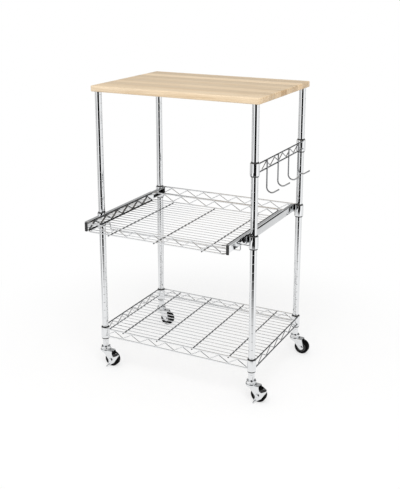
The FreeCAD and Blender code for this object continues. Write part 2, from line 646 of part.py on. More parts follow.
def caster_fork(x, y):
    """The swivelling fork: a crown with a skirt, a top plate and two legs to the axle."""
    low = CROWN_TOP_Z - CROWN_THICK
    crown = cylinder(CROWN_R, (x, y, low), Z_AXIS, CROWN_THICK)
    skirt = turned([(SKIRT_BORE_R, low - SKIRT_HEIGHT), (CROWN_R - SKIRT_TAPER, low - SKIRT_HEIGHT),
                    (CROWN_R, low), (SKIRT_BORE_R, low)], x, y)
    plate_low = CROWN_TOP_Z - FORK_SHEET
    top = box((x + FORK_PLATE_BACK, y - LEG_OUT, plate_low),
              (x + FORK_PLATE_FRONT, y + LEG_OUT, CROWN_TOP_Z))
    axle = (x + CASTER_TRAIL, AXLE_Z)
    back, front = (x + FORK_PLATE_BACK, CROWN_TOP_Z), (x + FORK_PLATE_FRONT, CROWN_TOP_Z)
    outline = [back, front, tangent_point(front, axle, FORK_BOSS_R, -1), axle,
               tangent_point(back, axle, FORK_BOSS_R, 1)]
    pieces = [skirt, top]
    for side in (-1, 1):
        y_low, y_high = sorted((y + side * LEG_IN, y + side * LEG_OUT))
        pieces.append(plate(outline, y_low, y_high))
        pieces.append(cylinder(FORK_BOSS_R, (axle[0], y_low, axle[1]), Y_AXIS, FORK_SHEET))
    fork = crown.multiFuse(pieces)
    wheel_space = cylinder(WHEEL_R + WHEEL_CLEARANCE, (axle[0], y - LEG_IN, axle[1]), Y_AXIS,
                           2 * LEG_IN)
    stem_hole = cylinder(STEM_R + STEM_HOLE_PLAY, (x, y, low - SKIRT_HEIGHT), Z_AXIS,
                         CROWN_THICK + SKIRT_HEIGHT)
    axle_hole = cylinder(AXLE_R, (axle[0], y - LEG_OUT, axle[1]), Y_AXIS, 2 * LEG_OUT)
    inside = cylinder(SKIRT_BORE_R, (x, y, low - SKIRT_HEIGHT), Z_AXIS, SKIRT_HEIGHT)
    return fork.cut([wheel_space, stem_hole, axle_hole, inside, race_groove(x, y)])


def wheel_part(profile, x, y):
    """A ring turned about the axle, from (radius, distance along the axle) points."""
    axle_x = x + CASTER_TRAIL
    points = [Vector(axle_x + r, y + along, AXLE_Z) for r, along in profile]
    face = Part.Face(Part.makePolygon(points + points[:1]))
    return face.revolve(Vector(axle_x, y, AXLE_Z), Y_AXIS, 360)


def wheel_tyre(x, y):
    half, inner = WHEEL_WIDTH / 2, WHEEL_R - TYRE_THICK
    tyre = wheel_part([(inner, -half), (WHEEL_R, -half), (WHEEL_R, half), (inner, half)], x, y)
    rims = [e for e in tyre.Edges
            if isinstance(e.Curve, Part.Circle) and abs(e.Curve.Radius - WHEEL_R) < FIT]
    return tyre.makeFillet(TYRE_SHOULDER_R, rims)


def wheel_hub(x, y):
    """A hub with a dished web between its boss and its rim."""
    half = WHEEL_WIDTH / 2
    proud = half + HUB_PROUD
    rim_r = WHEEL_R - TYRE_THICK
    bore = AXLE_R + AXLE_PLAY
    slope = (rim_r - HUB_BOSS_R) / 4
    one_side = [(bore, proud), (HUB_BOSS_R, proud), (HUB_BOSS_R + slope, half - HUB_DISH),
                (rim_r - 2 * slope, half - HUB_DISH), (rim_r - slope, half), (rim_r, half)]
    other = [(r, -along) for r, along in reversed(one_side)]
    return wheel_part(one_side + other, x, y)


def wheel_axle(x, y, braked):
    """Axle bolt with a head on the front side, which also holds a brake lever."""
    front = LEG_OUT + (2 * LEVER_GAP + LEVER_THICK if braked else 0.0)
    centre = (x + CASTER_TRAIL, y - front, AXLE_Z)
    bolt = cylinder(AXLE_R, centre, Y_AXIS, front + LEG_OUT + AXLE_HEAD_HEIGHT)
    head = cylinder(AXLE_HEAD_R, (centre[0], centre[1] - AXLE_HEAD_HEIGHT, AXLE_Z), Y_AXIS,
                    AXLE_HEAD_HEIGHT)
    nut = cylinder(AXLE_HEAD_R, (centre[0], y + LEG_OUT, AXLE_Z), Y_AXIS, AXLE_HEAD_HEIGHT)
    return bolt.multiFuse([head, nut]).removeSplitter()


def brake_lever(x, y):
    """A pressed lever that turns on the axle bolt, with a toe tab at its lower end."""
    back = y - LEG_OUT - LEVER_GAP
    front = back - LEVER_THICK
    axle = (x + CASTER_TRAIL, AXLE_Z)
    belly = (axle[0] + LEVER_BELLY_X, axle[1] - LEVER_BELLY_DROP)
    toe = (axle[0] + LEVER_TOE_X, LEVER_TOE_Z)
    heel = (axle[0] + LEVER_HEEL_X, 2 * WHEEL_R - LEVER_HEEL_DROP)
    lower = link(belly, LEVER_BELLY_R, toe, LEVER_TOE_R, front, back)
    upper = link(belly, LEVER_BELLY_R, heel, LEVER_HEEL_R, front, back)
    boss = cylinder(LEVER_BOSS_R, (axle[0], front, axle[1]), Y_AXIS, LEVER_THICK)
    start = Vector(toe[0], (front + back) / 2, toe[1])
    end = start + Vector(*TOE_TAB_REACH)
    tab = bar(start, end, TOE_TAB_R)
    knob = Part.makeSphere(TOE_TAB_R, end)
    root = Part.makeSphere(TOE_TAB_R, start)
    room = box((axle[0] - CROWN_R, back, 0.0), (axle[0] + CROWN_R, y, 2 * AXLE_Z))
    hole = cylinder(AXLE_R + AXLE_PLAY, (axle[0], front, axle[1]), Y_AXIS, LEVER_THICK)
    return lower.multiFuse([upper, boss, tab, knob, root]).cut([room, hole]).removeSplitter()


def brake_pad(x, y):
    """A plastic foot pad on the upper end of the lever."""
    back = y - LEG_OUT - LEVER_GAP - LEVER_THICK
    near = (x + CASTER_TRAIL + PAD_NEAR_X, 2 * WHEEL_R - PAD_NEAR_DROP)
    far = (x + CASTER_TRAIL + PAD_FAR_X, 2 * WHEEL_R + PAD_FAR_RISE)
    return link(near, PAD_R, far, PAD_R, back - PAD_THICK, back)


# ---- the cart -------------------------------------------------------------------------------
ALL_POSTS = tuple(CORNERS)
node("worktop_board", worktop())
node("board_inserts", *(board_insert(*c) for c in CORNERS.values()))
node("post_end_plugs", *(plug(*c) for c in CORNERS.values() for plug in (foot_plug, top_plug)))
for place_name, (post_x, post_y) in CORNERS.items():
    node("post_" + place_name, post(post_x, post_y))

node("shelf_collars", *level_collars(ALL_POSTS, SHELF_GROOVE_COUNT, SHELF_RISE))
node("shelf_sleeves_left", *level_sleeves(LEFT_POSTS, SHELF_GROOVE_COUNT, SHELF_RISE))
node("shelf_sleeves_right", *level_sleeves(RIGHT_POSTS, SHELF_GROOVE_COUNT, SHELF_RISE))
node("drawer_frame_collars", *level_collars(ALL_POSTS, DRAWER_GROOVE_COUNT, UPPER_RISE))
node("drawer_frame_sleeves_left", *level_sleeves(LEFT_POSTS, DRAWER_GROOVE_COUNT, UPPER_RISE))
node("drawer_frame_sleeves_right", *level_sleeves(RIGHT_POSTS, DRAWER_GROOVE_COUNT, UPPER_RISE))
node("hook_rack_collars", *level_collars(RIGHT_POSTS, HOOK_GROOVE_COUNT, UPPER_RISE))
node("hook_rack_sleeves", *level_sleeves(RIGHT_POSTS, HOOK_GROOVE_COUNT, UPPER_RISE))

shelf_ends = collar_cores(SHELF_GROOVE_COUNT, SHELF_RISE)
node("shelf_front_and_rear_trusses",
     *(truss_along_x(-TRUSS_Y, SHELF_GROOVE_COUNT, SHELF_RISE, shelf_ends)
       + truss_along_x(TRUSS_Y, SHELF_GROOVE_COUNT, SHELF_RISE, shelf_ends)))
node("shelf_side_trusses", *(truss_along_y(-TRUSS_X, SHELF_GROOVE_COUNT, SHELF_RISE, shelf_ends)
                             + truss_along_y(TRUSS_X, SHELF_GROOVE_COUNT, SHELF_RISE, shelf_ends)))
node("shelf_mat", *shelf_mat())

drawer_ends = collar_cores(DRAWER_GROOVE_COUNT, UPPER_RISE)
node("drawer_frame_rear_truss", *truss_along_x(TRUSS_Y, DRAWER_GROOVE_COUNT, UPPER_RISE, drawer_ends))
node("drawer_frame_front_tie", front_tie())
node("slide_channel_right", channel())
node("slide_channel_left", mirrored(channel()))
node("channel_end_stops", end_stop(), mirrored(end_stop()))
node("front_roller_pins", front_pin(), mirrored(front_pin()))
front_roller = roller(FRONT_ROLLER_Y, FRONT_ROLLER_Z, FRONT_ROLLER_R)
node("front_roller_right", front_roller)
node("front_roller_left", mirrored(front_roller))

node("tray_front_truss", *tray_end_truss(TRAY_FRONT_Y, 1))
node("tray_rear_truss", *tray_end_truss(TRAY_REAR_Y, -1))
node("tray_side_trusses", *(tray_side_truss(-TRAY_HALF_WIDTH) + tray_side_truss(TRAY_HALF_WIDTH)))
node("tray_mat", *tray_mat())
node("slide_rail_right", rail())
node("slide_rail_left", mirrored(rail()))
node("rail_end_caps", end_cap(), mirrored(end_cap()))
node("rear_roller_pins", rear_pin(), mirrored(rear_pin()))
rear_roller = roller(REAR_ROLLER_Y, REAR_ROLLER_Z, REAR_ROLLER_R)
node("rear_roller_right", rear_roller)
node("rear_roller_left", mirrored(rear_roller))

hook_ends = collar_cores(HOOK_GROOVE_COUNT, UPPER_RISE)
node("hook_rack_truss", *truss_along_y(TRUSS_X, HOOK_GROOVE_COUNT, UPPER_RISE, hook_ends))
node("hooks", *(hook((i - (HOOK_COUNT - 1) / 2) * HOOK_PITCH) for i in range(HOOK_COUNT)))

node("caster_stems", *(caster_stem(*c) for c in CORNERS.values()))
node("swivel_ball_rings", *(Part.makeTorus(RACE_R, BALL_R,
                                           Vector(*c, CROWN_TOP_Z + RACE_GAP / 2))
                            for c in CORNERS.values()))
for place_name, (post_x, post_y) in CORNERS.items():
    node("caster_fork_" + place_name, caster_fork(post_x, post_y))
    node("wheel_tyre_" + place_name, wheel_tyre(post_x, post_y))
    node("wheel_hub_" + place_name, wheel_hub(post_x, post_y))
    node("wheel_axle_" + place_name, wheel_axle(post_x, post_y, place_name in BRAKED))
for place_name in BRAKED:
    node("brake_lever_" + place_name, brake_lever(*CORNERS[place_name]))
    node("brake_pad_" + place_name, brake_pad(*CORNERS[place_name]))

os.makedirs("parts", exist_ok=True)
for name, shape in nodes.items():
    if not shape.isValid():
        raise ValueError(name + " is not a valid shape")
    shape.exportStep("parts/" + name + ".step")
    bounds = shape.BoundBox
    print(f"{name:26s} {len(shape.Solids):3d} solids  x {bounds.XMin:8.2f} {bounds.XMax:8.2f}"
          f"  y {bounds.YMin:8.2f} {bounds.YMax:8.2f}  z {bounds.ZMin:7.2f} {bounds.ZMax:7.2f}")
print(len(nodes), "nodes")
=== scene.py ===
"""The looks of a kitchen island cart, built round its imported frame.

Everything is in metres and in the frame's axes: +X right, -Y front, +Z up, origin on the floor
midway between the posts. Each sub-assembly is a class: its fields are the sizes that only the looks
need, and its places come from the boxes of the frame's nodes.
"""

import json
import logging
import math
from dataclasses import dataclass, field
from enum import Enum
from typing import Callable, Sequence

import bpy
import numpy as np
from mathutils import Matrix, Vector

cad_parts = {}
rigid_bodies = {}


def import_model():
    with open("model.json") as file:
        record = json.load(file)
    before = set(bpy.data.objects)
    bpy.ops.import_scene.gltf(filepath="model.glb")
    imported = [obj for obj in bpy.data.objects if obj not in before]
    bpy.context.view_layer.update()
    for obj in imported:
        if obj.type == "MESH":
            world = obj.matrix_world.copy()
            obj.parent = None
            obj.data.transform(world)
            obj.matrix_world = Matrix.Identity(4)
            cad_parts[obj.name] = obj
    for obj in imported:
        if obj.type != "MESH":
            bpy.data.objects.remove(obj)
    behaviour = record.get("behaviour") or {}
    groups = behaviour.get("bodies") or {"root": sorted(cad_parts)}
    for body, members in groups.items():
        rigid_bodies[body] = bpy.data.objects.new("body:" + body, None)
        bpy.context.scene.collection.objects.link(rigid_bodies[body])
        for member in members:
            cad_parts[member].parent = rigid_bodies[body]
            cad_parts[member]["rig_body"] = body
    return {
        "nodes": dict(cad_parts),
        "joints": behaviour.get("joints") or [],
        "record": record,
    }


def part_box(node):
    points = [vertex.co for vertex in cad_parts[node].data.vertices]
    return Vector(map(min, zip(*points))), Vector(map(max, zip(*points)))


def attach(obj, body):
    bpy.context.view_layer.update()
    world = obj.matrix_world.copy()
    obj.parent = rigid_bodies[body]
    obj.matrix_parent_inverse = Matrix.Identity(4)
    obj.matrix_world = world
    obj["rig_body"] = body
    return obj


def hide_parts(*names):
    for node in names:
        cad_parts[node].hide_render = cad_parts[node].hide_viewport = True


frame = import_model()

LOG = logging.getLogger("cart")
MM = 0.001
TAU = 2.0 * math.pi
X_AXIS = np.array([1.0, 0.0, 0.0])
Y_AXIS = np.array([0.0, 1.0, 0.0])
Z_AXIS = np.array([0.0, 0.0, 1.0])
Socket = bpy.types.NodeSocket
Pair = tuple[float, float]
Triple = tuple[float, float, float]
# Scale, detail and stretch of a noise.
Noise = tuple[float, float, Triple]
EVEN = (1.0, 1.0, 1.0)


# ---- frame ----------------------------------------------------------------------------------
SLOT_OF_NODE: dict[str, str] = {
    entry["node"]: entry["material_slot"] for entry in frame["record"]["subparts"]
}


def node_box(node: str) -> tuple[np.ndarray, np.ndarray]:
    """Lowest and highest corner of a node of the frame, as arrays."""
    low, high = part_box(node)
    return np.array(low), np.array(high)


def node_centre(node: str) -> np.ndarray:
    """Middle of a node's box."""
    low, high = node_box(node)
    return (low + high) / 2


def joint_place(name: str) -> np.ndarray:
    """A point on the axis of a joint of the frame."""
    return next(np.array(j["pos_m"]) for j in frame["joints"] if j["name"] == name)


# ---- surfaces -------------------------------------------------------------------------------
# Directions, from the tip, at which a wire's rounded end and a weld nugget are cut into rings.
DOME_ANGLES = np.radians([12.0, 35.0, 62.0])
NUGGET_ANGLES = np.radians([18.0, 55.0, 90.0, 125.0, 162.0])
# Rises, from the rim, at which a domed rivet head is cut into rings.
HEAD_ANGLES = np.radians([0.0, 20.0, 45.0, 70.0, 84.0])
# Rings of a hexagon head as shares of its height; the last two are held to these shares of the
# distances from the axis to a corner and to a flat.
HEXAGON_RINGS = np.array([0.0, 0.72, 0.86, 1.0])
HEXAGON_CORNER, HEXAGON_FLAT = 0.96, 0.97
# Points round a thick wire, and steps of a bend in it.
WIRE_SIDES, WIRE_BEND = 16, 8


@dataclass
class Surface:
    """Points, four-sided faces and the many-sided faces that close a surface's ends."""

    points: np.ndarray
    quads: np.ndarray
    caps: list[np.ndarray] = field(default_factory=list)

    @staticmethod
    def grid(points: np.ndarray, round_u: bool = False, capped: bool = True) -> "Surface":
        """A surface from a grid of points P(u, v), closed on itself in v.

        Quad (i, j) joins the points (i, j), (i+1, j), (i+1, j+1) and (i, j+1). The last column
        joins the first, and so does the last row where the grid is round in u.

        Args:
            points: array of shape (rows, columns, 3).
            round_u: whether the last row joins the first.
            capped: whether the first and last rows are closed with one face each.

        Returns:
            The surface.
        """
        rows, columns = points.shape[:2]
        i, j = np.meshgrid(np.arange(rows if round_u else rows - 1),
                           np.arange(columns), indexing="ij")
        down, right = (i + 1) % rows, (j + 1) % columns
        quads = np.stack([i * columns + j, down * columns + j, down * columns + right,
                          i * columns + right], axis=-1).reshape(-1, 4)
        caps = []
        if capped and not round_u:
            ring = np.arange(columns)
            caps = [ring, (rows - 1) * columns + ring[::-1]]
        return Surface(points.reshape(-1, 3), quads, caps)

    @staticmethod
    def joined(parts: Sequence["Surface"]) -> "Surface":
        """Puts surfaces together as one, each keeping its own points.

        Args:
            parts: the surfaces.

        Returns:
            One surface with all their points and faces.
        """
        starts = np.cumsum([0] + [len(p.points) for p in parts[:-1]])
        return Surface(np.concatenate([p.points for p in parts]),
                       np.concatenate([p.quads + s for p, s in zip(parts, starts)]),
                       [cap + s for p, s in zip(parts, starts) for cap in p.caps])

    def flipped(self) -> "Surface":
        """The same surface with its faces turned the other way."""
        return Surface(self.points, self.quads[:, ::-1], [c[::-1] for c in self.caps])

    def outward(self) -> "Surface":
        """The surface with its faces outwards: flipped where its volume comes out negative.

        Six times the volume is the sum of a . (b x c) over its triangles.

        Returns:
            The surface itself or its flipped twin.
        """
        fans = [np.stack([np.full(len(c) - 2, c[0]), c[1:-1], c[2:]], -1) for c in self.caps]
        triangles = np.concatenate([self.quads[:, [0, 1, 2]], self.quads[:, [0, 2, 3]], *fans])
        a, b, c = (self.points[triangles[:, k]] for k in range(3))
        six_volumes = float(np.einsum("ij,ij->", a - self.points[0], np.cross(b - a, c - a)))
        return self if six_volumes > 0 else self.flipped()

    def moved(self, offset: Sequence[float]) -> "Surface":
        """The same surface shifted by an offset."""
        return Surface(self.points + np.asarray(offset), self.quads, self.caps)

    def mirrored(self) -> "Surface":
        """The mirror image in the plane X = 0, faces still outwards."""
        return Surface(self.points * np.array([-1.0, 1.0, 1.0]), self.quads, self.caps).flipped()


def unit(v: np.ndarray) -> np.ndarray:
    """The vector at length one."""
    return v / np.linalg.norm(v)


def full_turn(steps: int) -> np.ndarray:
    """Angles evenly round a full turn."""
    return np.linspace(0, TAU, steps, endpoint=False)


def spread(count: int, pitch: float) -> np.ndarray:
    """Places a pitch apart, about the middle."""
    return (np.arange(count) - (count - 1) / 2) * pitch


def both_sides(side: Sequence[Sequence[float]]) -> np.ndarray:
    """A closed (radius, height) profile: one side and its mirror image in height 0."""
    return np.concatenate([side, np.array(side)[::-1] * (1, -1)])


def spokes(axis: np.ndarray, aside: np.ndarray, t: np.ndarray) -> np.ndarray:
    """Directions round an axis A: cos t U + sin t V, with U along A x aside and V = A x U."""
    u = unit(np.cross(axis, aside))
    return np.cos(t)[:, None] * u + np.sin(t)[:, None] * np.cross(axis, u)


def arc(centre: Sequence[float], radius: float, start: float, stop: float,
        steps: int) -> np.ndarray:
    """Points of a flat arc: C + r (cos t, sin t), t from start to stop in degrees."""
    t = np.radians(np.linspace(start, stop, steps))
    return np.asarray(centre) + radius * np.stack([np.cos(t), np.sin(t)], axis=-1)


def rounded_path(corners: Sequence[Sequence[float]], radius: float,
                 steps: int = 6) -> tuple[np.ndarray, np.ndarray]:
    """Straight runs joined by arcs that touch them.

    At a corner Q between unit directions a (back) and b (on), the arc starts at Q + a r/tan(h)
    and ends at Q + b r/tan(h), with h half the angle between a and b. Its centre is
    Q + m r/sin(h), with m the unit middle of a and b. Tangents turn evenly along the arc.

    Args:
        corners: the corner points.
        radius: radius of every arc.
        steps: points on each arc.

    Returns:
        The points and the unit tangents at them.
    """
    q = np.asarray(corners, float)
    points, tangents = [q[0]], [unit(q[1] - q[0])]
    for before, corner, after in zip(q, q[1:], q[2:]):
        a, b = unit(before - corner), unit(after - corner)
        half = math.acos(float(np.clip(a @ b, -1, 1))) / 2
        centre = corner + unit(a + b) * radius / math.sin(half)
        begin = corner + a * radius / math.tan(half) - centre
        turn = np.linspace(0, math.pi - 2 * half, steps)[:, None]
        side = unit(begin)
        points.extend(centre + radius * (np.cos(turn) * side - np.sin(turn) * a))
        tangents.extend(-np.cos(turn) * a - np.sin(turn) * side)
    points.append(q[-1])
    tangents.append(unit(q[-1] - q[-2]))
    return np.array(points), np.array(tangents)


def swept(points: np.ndarray, tangents: np.ndarray, normal: np.ndarray, radius: float,
          sides: int = 12, domed: bool = True) -> Surface:
    """A round wire along a flat path, with rounded ends.

    P(s, t) = C(s) + k(s) r (cos t N + sin t B(s)), where N is the normal of the path's plane,
    B = T x N, and k falls from 1 to near 0 as a quarter circle over the last radius at an end.

    Args:
        points: the path.
        tangents: unit tangents of the path.
        normal: unit normal of the plane that the path lies in.
        radius: the wire's radius.
        sides: points round the wire.
        domed: whether the ends are rounded.

    Returns:
        The closed surface.
    """
    scale = np.ones(len(points))
    if domed:
        small, back = np.sin(DOME_ANGLES), radius * (1 - np.cos(DOME_ANGLES))
        head = points[0] + np.outer(back, tangents[0])
        tail = points[-1] - np.outer(back[::-1], tangents[-1])
        points = np.concatenate([head, (points[0] + radius * tangents[0])[None], points[1:-1],
                                 (points[-1] - radius * tangents[-1])[None], tail])
        tangents = np.concatenate([np.repeat(tangents[:1], len(small), 0), tangents,
                                   np.repeat(tangents[-1:], len(small), 0)])
        scale = np.concatenate([small, scale, small[::-1]])
    binormal = np.cross(tangents, normal)
    t = full_turn(sides)
    ring = (np.cos(t)[None, :, None] * normal[None, None]
            + np.sin(t)[None, :, None] * binormal[:, None])
    grid = points[:, None] + radius * scale[:, None, None] * ring
    return Surface.grid(grid).outward()


def straight_wires(starts: np.ndarray, ends: np.ndarray, radius: float, sides: int = 10) -> Surface:
    """Several straight wires with rounded ends, all parallel.

    Args:
        starts: one end of each wire, shape (n, 3).
        ends: the other end of each.
        radius: the wires' radius.
        sides: points round a wire.

    Returns:
        The wires as one surface.
    """
    direction = unit(ends[0] - starts[0])
    normal = Z_AXIS if abs(direction[2]) < 0.5 else X_AXIS
    tangents = np.stack([direction, direction])
    return Surface.joined([swept(np.stack([a, b]), tangents, normal, radius, sides)
                           for a, b in zip(starts, ends)])


def revolved(profile: np.ndarray, centre: Sequence[float], axis: np.ndarray, segments: int = 48,
             ring: bool = False, sweep: Pair | None = None) -> Surface:
    """A surface of revolution.

    P(s, t) = C + r(s) (cos t U + sin t V) + h(s) A, with U and V square to the axis A.

    Args:
        profile: (radius, height along the axis) points.
        centre: the point that heights are counted from.
        axis: unit direction of the axis.
        segments: points round the axis.
        ring: whether the profile is closed on itself, as a tube's wall is.
        sweep: start and end angle in degrees for a part turn; a full turn if left out.

    Returns:
        The closed surface.
    """
    profile = np.asarray(profile, float)
    t = full_turn(segments) if sweep is None else np.radians(np.linspace(*sweep, segments))
    spoke = spokes(axis, X_AXIS if abs(axis[0]) < 0.5 else Y_AXIS, t)
    grid = (np.asarray(centre) + profile[:, 0, None, None] * spoke[None]
            + profile[:, 1, None, None] * axis)
    if sweep is None:
        return Surface.grid(grid, round_u=ring, capped=not ring).outward()
    return Surface.grid(np.swapaxes(grid, 0, 1)).outward()


def extruded(outline: np.ndarray, origin: Sequence[float], u: np.ndarray, v: np.ndarray,
             depth: np.ndarray, edge: float = 0.0) -> Surface:
    """A flat plate: P(s, k) = O + x(s) U + y(s) V + d(k) W, with slightly softened edges.

    The first and last layers draw in along the outline's own normal by the edge size, so that
    the rim is a 45 degree chamfer.

    Args:
        outline: closed outline as (x, y) points, anticlockwise from U to V.
        origin: where the outline's own origin lies.
        u: direction of x.
        v: direction of y.
        depth: vector from the near face to the far face.
        edge: size of the chamfer.

    Returns:
        The closed surface.
    """
    ahead, behind = np.roll(outline, -1, 0), np.roll(outline, 1, 0)
    run = ahead - behind
    inward = np.stack([-run[:, 1], run[:, 0]], -1) / np.linalg.norm(run, axis=1)[:, None]
    thickness = np.linalg.norm(depth)
    layers = [(0.0, edge), (0.0, thickness - edge)]
    if edge > 0.0:
        layers = [(edge, 0.0), *layers, (edge, thickness)]
    w = depth / thickness
    rings = []
    for inset, height in layers:
        flat = outline + inward * inset
        rings.append(np.asarray(origin) + flat[:, :1] * u + flat[:, 1:] * v + height * w)
    return Surface.grid(np.stack(rings)).outward()


def strip_outline(points: np.ndarray, tangents: np.ndarray, thickness: float) -> np.ndarray:
    """Closed outline of bent sheet: its flat middle line moved half a thickness each way."""
    side = np.stack([-tangents[:, 1], tangents[:, 0]], -1) * thickness / 2
    return np.concatenate([points - side, (points + side)[::-1]])


def flat_path(corners: Sequence[Sequence[float]], radius: float,
              steps: int = 6) -> tuple[np.ndarray, np.ndarray]:
    """A rounded path in two dimensions."""
    points, tangents = rounded_path([(*corner, 0.0) for corner in corners], radius, steps)
    return points[:, :2], tangents[:, :2]


def rounded_profile(corners: Sequence[Sequence[float]], radius: float,
                    steps: int = 4) -> np.ndarray:
    """A closed profile with each corner rounded by the same arc.

    Args:
        corners: the corner points.
        radius: radius of the arcs.
        steps: points on each arc.

    Returns:
        The points, from the middle of the side that joins the last corner to the first.
    """
    q = [np.asarray(c, float) for c in corners]
    middle = (q[0] + q[-1]) / 2
    points, _ = flat_path([middle, *q, middle], radius, steps)
    return points[:-1]


def rounded_rectangle(half: Sequence[float], radius: float, steps: int = 8) -> np.ndarray:
    """A rectangle about the origin whose corners are quarter circles.

    Args:
        half: half its width and half its height.
        radius: radius of the corners.
        steps: points on each corner.

    Returns:
        The outline, anticlockwise.
    """
    a, b = half[0] - radius, half[1] - radius
    corners = (((a, -b), -90), ((a, b), 0), ((-a, b), 90), ((-a, -b), 180))
    return np.concatenate([arc(c, radius, start, start + 90, steps) for c, start in corners])


def stadium(start: Sequence[float], end: Sequence[float], radius: float,
            steps: int = 14) -> np.ndarray:
    """Two half circles joined by straight sides.

    Args:
        start: centre of one half circle.
        end: centre of the other.
        radius: radius of both.
        steps: points on each half circle.

    Returns:
        The outline, anticlockwise.
    """
    run = np.subtract(end, start)
    heading = math.degrees(math.atan2(run[1], run[0]))
    return np.concatenate([arc(end, radius, heading - 90, heading + 90, steps),
                           arc(start, radius, heading + 90, heading + 270, steps)])


def hexagon_head(centre: np.ndarray, axis: np.ndarray, across: float, height: float) -> Surface:
    """A hexagon bolt head: a prism whose outer end is drawn in to a round chamfer.

    The distance from the axis to the flats is r(t) = (w/2) / cos(t - t0), with t0 the middle of
    the flat. The chamfer's rings are the lesser of r(t) and a circle's radius.

    Args:
        centre: middle of the face that the head sits on.
        axis: unit direction from that face to the outer end.
        across: size across the flats.
        height: height of the head.

    Returns:
        The closed surface.
    """
    side, points_on_side = TAU / 6, 6
    t = full_turn(6 * points_on_side)
    flat = across / 2 / np.cos(t % side - side / 2)
    corner = across / math.sqrt(3)
    circles = (corner, corner, corner * HEXAGON_CORNER, across / 2 * HEXAGON_FLAT)
    spoke = spokes(axis, Y_AXIS if abs(axis[1]) < 0.5 else Z_AXIS, t)
    return Surface.grid(np.stack([
        centre + np.minimum(flat, circle)[:, None] * spoke + rise * axis
        for circle, rise in zip(circles, height * HEXAGON_RINGS)])).outward()


def domed_head(place: Sequence[float], axis: np.ndarray, radius: float, height: float,
               rim: float, segments: int) -> Surface:
    """A rivet head on a short straight rim: r = R cos a, h = H (k + (1 - k) sin a).

    Args:
        place: middle of the face that the head sits on.
        axis: unit direction from that face to the head's top.
        radius: the head's radius R.
        height: its height H.
        rim: the straight rim's share k of the height.
        segments: points round the axis.

    Returns:
        The closed surface.
    """
    dome = np.column_stack([radius * np.cos(HEAD_ANGLES),
                            height * (rim + (1 - rim) * np.sin(HEAD_ANGLES))])
    return revolved(np.concatenate([[(radius, 0.0)], dome]), place, axis, segments)


# ---- finishes -------------------------------------------------------------------------------
class NodeTree:
    """A short way to write a material's or a world's nodes."""

    def __init__(self, tree: bpy.types.NodeTree) -> None:
        """Starts from an empty tree."""
        self.tree = tree
        tree.nodes.clear()

    def add(self, kind: str, inputs: dict | None = None, **settings: object) -> bpy.types.Node:
        """Adds a node.

        Args:
            kind: the node's type name.
            inputs: value or output socket for each named or numbered input.
            settings: attributes to set on the node.

        Returns:
            The node.
        """
        node = self.tree.nodes.new(kind)
        for name, value in settings.items():
            setattr(node, name, value)
        for name, value in (inputs or {}).items():
            if isinstance(value, Socket):
                self.tree.links.new(value, node.inputs[name])
            else:
                node.inputs[name].default_value = value
        return node

    def ramp(self, value: Socket, stops: Sequence[tuple[float, Sequence[float]]]) -> Socket:
        """Adds a colour ramp.

        Args:
            value: where on the ramp, 0 to 1.
            stops: (position, colour) pairs, in order.

        Returns:
            The colour.
        """
        node = self.add("ShaderNodeValToRGB", {0: value})
        elements = node.color_ramp.elements
        while len(elements) < len(stops):
            elements.new(0.5)
        for element, (position, colour) in zip(elements, stops):
            element.position, element.color = position, (*colour, 1.0)
        return node.outputs["Color"]

    def maths(self, operation: str, *values: object) -> Socket:
        """One arithmetic step."""
        return self.add("ShaderNodeMath", dict(enumerate(values)), operation=operation).outputs[0]

    def vector(self, operation: str, first: object, second: object) -> Socket:
        """One step on a vector; the second value of a SCALE step is a number."""
        values = {0: first, ("Scale" if operation == "SCALE" else 1): second}
        return self.add("ShaderNodeVectorMath", values, operation=operation).outputs[0]

    def multiplied(self, share: object, first: object, second: object) -> Socket:
        """The first colour, multiplied by the second as far as the share says."""
        return self.add("ShaderNodeMix", {0: share, 6: first, 7: second}, data_type="RGBA",
                        blend_type="MULTIPLY").outputs[2]

    def split(self, vector: object) -> bpy.types.bpy_prop_collection:
        """The X, Y and Z of a vector, or of a colour."""
        return self.add("ShaderNodeSeparateXYZ", {0: vector}).outputs

    def noise(self, vector: Socket, scale: float, detail: float = 3.0,
              stretch: Sequence[float] = (1.0, 1.0, 1.0)) -> Socket:
        """Adds noise on stretched coordinates.

        Args:
            vector: the coordinates.
            scale: how fine the noise is.
            detail: how many finer layers it has.
            stretch: factor on each coordinate; a small one draws the noise out along it.

        Returns:
            A value around one half.
        """
        mapping = self.add("ShaderNodeMapping", {"Vector": vector, "Scale": stretch})
        node = self.add("ShaderNodeTexNoise",
                        {"Vector": mapping.outputs[0], "Scale": scale, "Detail": detail})
        return node.outputs[0]

    def mapped(self, value: Socket, start: Pair, end: Pair = (0.0, 1.0),
               **settings: str) -> Socket:
        """Maps one span of values to another, and holds it at that span's ends.

        Args:
            value: the value.
            start: the span it comes in.
            end: the span it goes out in.
            settings: attributes of the node, such as its kind of interpolation.

        Returns:
            The mapped value.
        """
        return self.add("ShaderNodeMapRange", {
            "Value": value, "From Min": start[0], "From Max": start[1], "To Min": end[0],
            "To Max": end[1]}, **settings).outputs[0]

    def between(self, factor: Socket, low: float, high: float) -> Socket:
        """Maps 0..1 to low..high."""
        return self.mapped(factor, (0.0, 1.0), (low, high))

    def bump(self, height: Socket, distance: float, strength: float = 1.0) -> Socket:
        """A bump normal from a height of 0..1 over the given distance."""
        return self.add("ShaderNodeBump", {"Height": height, "Distance": distance,
                                           "Strength": strength}).outputs[0]


def new_material(name: str) -> tuple[bpy.types.Material, NodeTree, Socket]:
    """Starts a material.

    Args:
        name: the material's name.

    Returns:
        The empty material, its nodes and its object coordinates.
    """
    material = bpy.data.materials.new(name)
    material.use_nodes = True
    nodes = NodeTree(material.node_tree)
    return material, nodes, nodes.add("ShaderNodeTexCoord").outputs["Object"]


